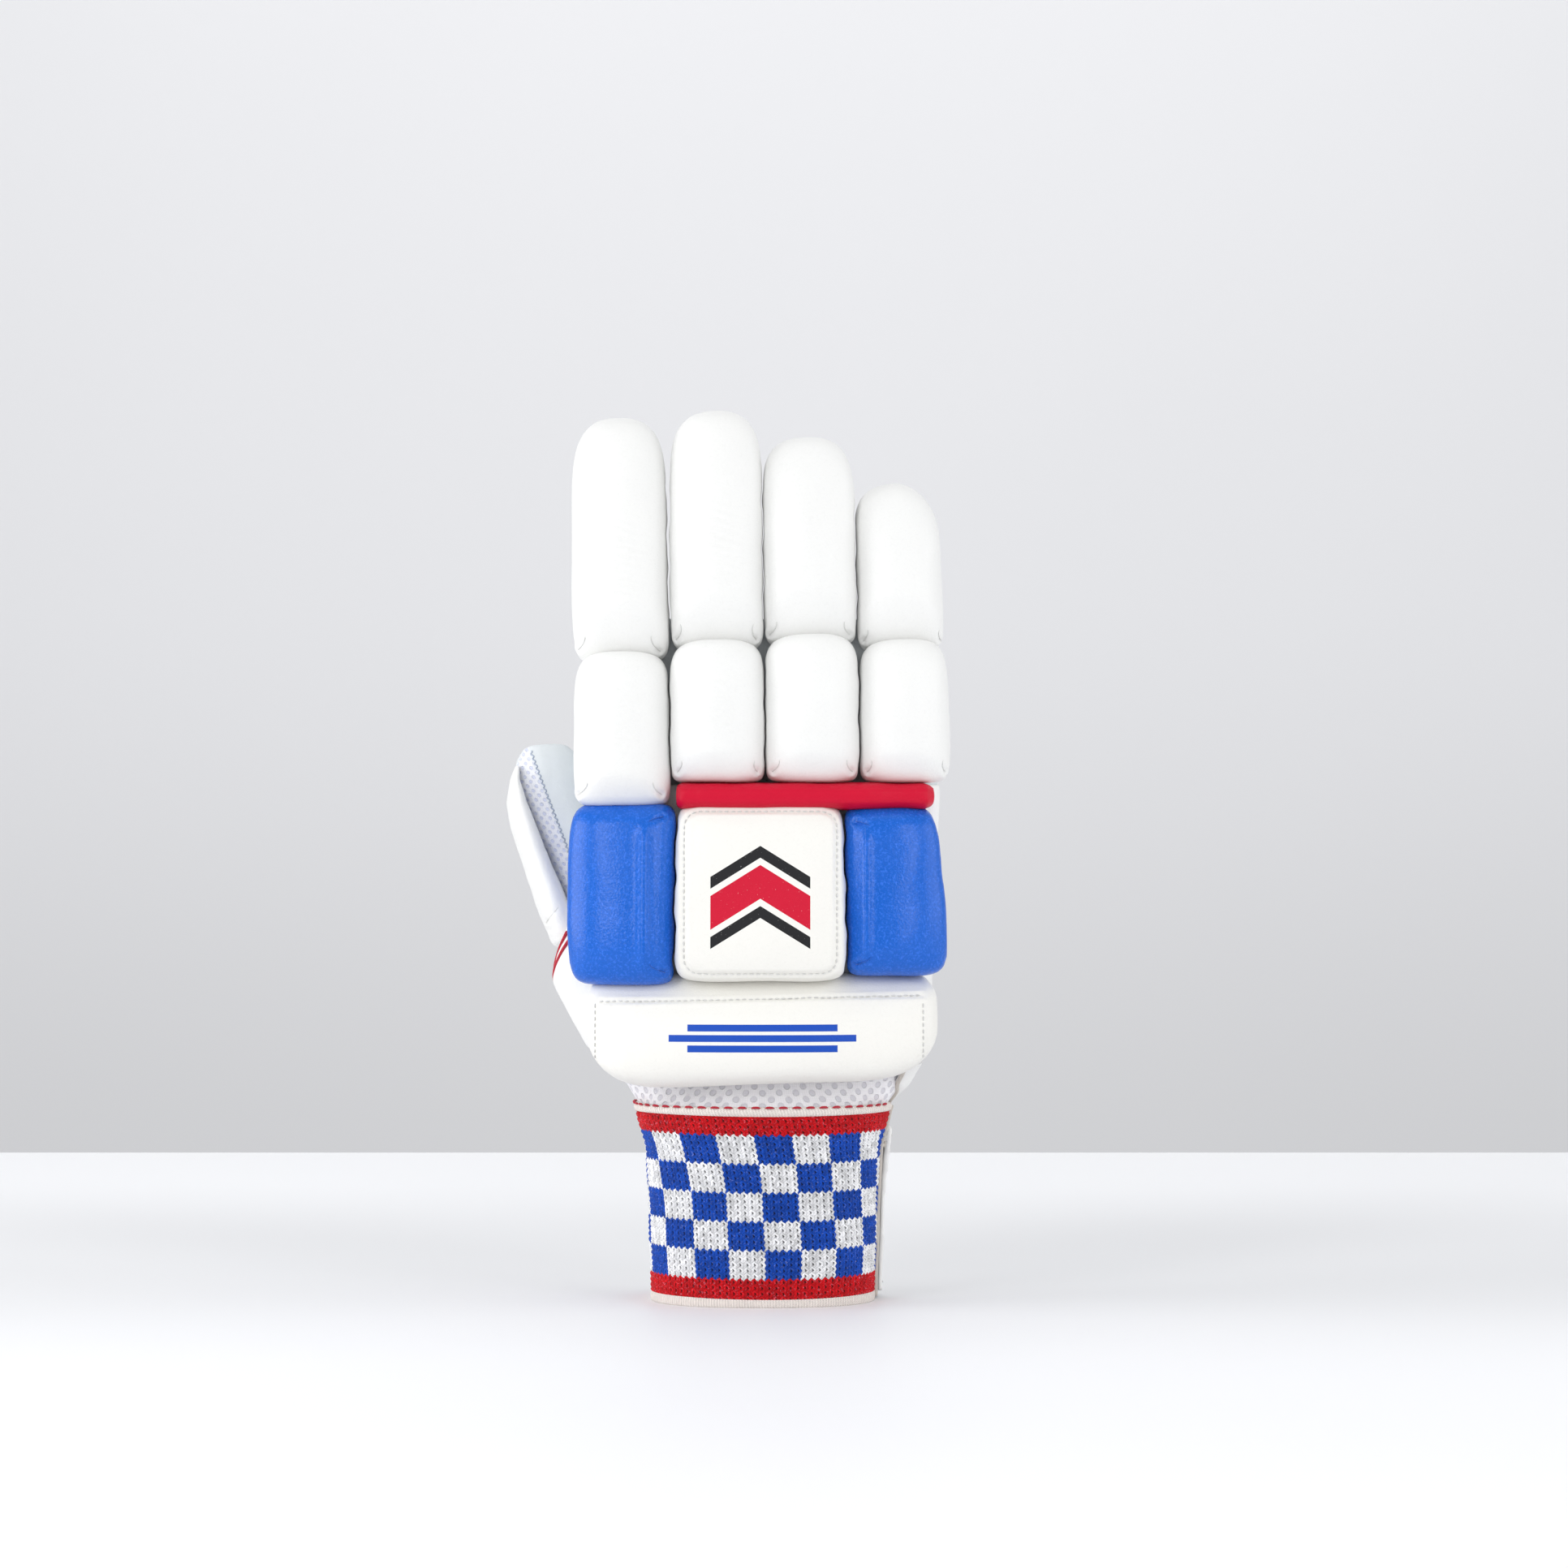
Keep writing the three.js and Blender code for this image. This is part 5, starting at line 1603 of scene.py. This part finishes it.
def bilinear(levels, angles, table, up, turn):
    """A table read off at heights and angles between its rows and columns."""
    levels = np.asarray(levels, float)
    row = np.clip(np.interp(up, levels, np.arange(len(levels))), 0, len(levels) - 1)
    column = np.interp(turn, angles, np.arange(len(angles)))
    low, left = np.floor(row).astype(int), np.floor(column).astype(int)
    high, right = np.minimum(low + 1, len(levels) - 1), np.minimum(left + 1, len(angles) - 1)
    above, beside = row - low, column - left
    return (table[low, left] * (1 - above) * (1 - beside) + table[high, left] * above * (1 - beside)
            + table[low, right] * (1 - above) * beside + table[high, right] * above * beside)


class GLOVE_OT_strap(bpy.types.Operator):
    """Makes the closing strap across the palm side of the cuff"""
    bl_idname = "glove.strap"
    bl_label = "Wrist strap"

    def execute(self, context):
        cloth = context.scene.glove_cloth
        node = "wrist_strap"
        mesh = soft_copy(node, 0.75 * MM, 6, 0)
        undulate(mesh, 61, 24 * MM, 0.25 * MM)
        centre = middle_of("knit_band")[0]
        points = taper(points_of(mesh), centre)
        move_points(mesh, points)
        angle = np.arctan2(points[:, 0] - centre[0], points[:, 1] - centre[1])
        reach = (math.pi / 2 - angle) * 38 * MM
        store(mesh, "cloth", np.stack([reach, points[:, 2], np.zeros(len(points))], axis=1))
        piece(mesh, "strap", strap_leather("strap_leather"), "strap_leather", node)
        tree = tree_of(mesh)
        parts = []
        low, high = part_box(node)
        for level in (low.z + 3 * MM, high.z - 3 * MM):
            turns = np.radians(np.linspace(97, 222, 140))
            hits = [cast_in(tree, centre, level, turn, 0.09) for turn in turns]
            path, normals = zip(*[hit for hit in hits if hit])
            parts += stitches(path, normals, cloth.stitch, 0.68, 0.25 * MM)
        thread_piece(parts, "strap_stitches", "strap_thread", cloth.thread, "strap_leather")
        return {"FINISHED"}


class GLOVE_OT_piping(bpy.types.Operator):
    """Gives the two lines of piping their finish"""
    bl_idname = "glove.piping"
    bl_label = "Piping"

    def execute(self, context):
        cloth = context.scene.glove_cloth
        material = woven_tape("piping_cord", cloth.piping)
        for part in ("front", "rear"):
            node = f"piping_{part}"
            mesh = soft_copy(node, 0.25 * MM, 4, 1, 0.05 * MM)
            piece(mesh, f"{part}_piping", material, "piping", node)
        return {"FINISHED"}


class GLOVE_OT_stage(bpy.types.Operator):
    """Makes the table, the backdrop, the lights and the camera"""
    bl_idname = "glove.stage"
    bl_label = "Stage"

    def execute(self, context):
        stage = context.scene.glove_stage
        self.table(stage)
        self.backdrop(stage)
        self.lights(context.scene)
        self.camera(context.scene, stage)
        return {"FINISHED"}

    def table(self, stage):
        """A pale table top whose far edge shows behind the glove."""
        half, thick = stage.table_half, 30 * MM
        corners = [(-half, -stage.table_front), (half, -stage.table_front), (half, stage.table_back),
                   (-half, stage.table_back)]
        points = [(x, y, 0.0) for x, y in corners] + [(x, y, -thick) for x, y in corners]
        faces = [(0, 1, 2, 3), (7, 6, 5, 4), (0, 4, 5, 1), (1, 5, 6, 2), (2, 6, 7, 3), (3, 7, 4, 0)]
        self.plain("table", points, faces, stage_finish("table_top", stage.pale, stage.pale, 0.5))

    def backdrop(self, stage):
        """A pale wall far behind the table."""
        y, half, foot, head = stage.backdrop, 4.0, -2.5, 3.0
        points = [(-half, y, foot), (half, y, foot), (half, y, head), (-half, y, head)]
        # The backdrop's foot gets painted shade
        paper = stage_finish("backdrop_paper", stage.grey, stage.painted_foot_shade, 0.9)
        self.plain("backdrop", points, [(3, 2, 1, 0)], paper)

    def plain(self, name, points, faces, material):
        """One flat-sided thing that stands round the glove."""
        mesh = bpy.data.meshes.new(name)
        mesh.from_pydata(points, [], faces)
        mesh.materials.append(material)
        made = bpy.data.objects.new(name, mesh)
        bpy.context.scene.collection.objects.link(made)

    def lights(self, scene):
        """Soft studio light: two tall lights in front, more all round, one on the wall, and a pale room."""
        world = bpy.data.worlds.new("room")
        world.use_nodes = True
        background = world.node_tree.nodes["Background"]
        background.inputs["Color"].default_value = ROOM_COLOUR
        background.inputs["Strength"].default_value = ROOM_LIGHT
        scene.world = world
        for name, place, target, size, power in LIGHTS:
            light = bpy.data.lights.new(name, "AREA")
            light.shape = "RECTANGLE"
            light.size, light.size_y = size
            light.energy = power
            lamp = bpy.data.objects.new(name, light)
            lamp.location = place
            lamp.rotation_euler = (Vector(target) - Vector(place)).to_track_quat("-Z", "Y").to_euler()
            scene.collection.objects.link(lamp)

    def camera(self, scene, stage):
        """A level camera in front of the glove."""
        data = bpy.data.cameras.new("camera")
        data.sensor_width = 36.0
        data.lens = stage.lens
        data.clip_start, data.clip_end = 0.05, 50.0
        made = bpy.data.objects.new("camera", data)
        made.location = (stage.camera_x, -stage.camera_back, stage.camera_z)
        made.rotation_euler = (math.radians(90), 0.0, 0.0)
        scene.collection.objects.link(made)
        scene.camera = made
        scene.view_settings.view_transform = "Standard"


class GLOVE_PT_panel(bpy.types.Panel):
    """Lists the glove's pieces in the sidebar"""
    bl_idname = "GLOVE_PT_panel"
    bl_label = "Batting Glove"
    bl_space_type = "VIEW_3D"
    bl_region_type = "UI"
    bl_category = "Glove"

    def draw(self, context):
        for operator in OPERATORS:
            self.layout.operator(operator.bl_idname)
        for group in settings():
            box = self.layout.box()
            for name in group.__annotations__:
                box.prop(group, name)


GROUPS = {
    "glove_leather": GLOVE_PG_leather,
    "glove_knit": GLOVE_PG_knit,
    "glove_cloth": GLOVE_PG_cloth,
    "glove_stage": GLOVE_PG_stage,
}
OPERATORS = (
    GLOVE_OT_stage, GLOVE_OT_rolls, GLOVE_OT_back_pads, GLOVE_OT_guard, GLOVE_OT_hand,
    GLOVE_OT_stalls, GLOVE_OT_thumb, GLOVE_OT_cuff, GLOVE_OT_strap, GLOVE_OT_piping,
)


def register():
    """Registers the classes and the scene's property groups."""
    for group in GROUPS.values():
        bpy.utils.register_class(group)
    for name, group in GROUPS.items():
        setattr(bpy.types.Scene, name, bpy.props.PointerProperty(type=group))
    for operator in (*OPERATORS, GLOVE_PT_panel):
        bpy.utils.register_class(operator)


def unregister():
    """Takes them away again."""
    for operator in (GLOVE_PT_panel, *reversed(OPERATORS)):
        bpy.utils.unregister_class(operator)
    for name in GROUPS:
        delattr(bpy.types.Scene, name)
    for group in reversed(list(GROUPS.values())):
        bpy.utils.unregister_class(group)


def main():
    """Builds the whole glove on its stage."""
    register()
    for operator in OPERATORS:
        family, name = operator.bl_idname.split(".")
        getattr(getattr(bpy.ops, family), name)()


if __name__ == "__main__":
    main()
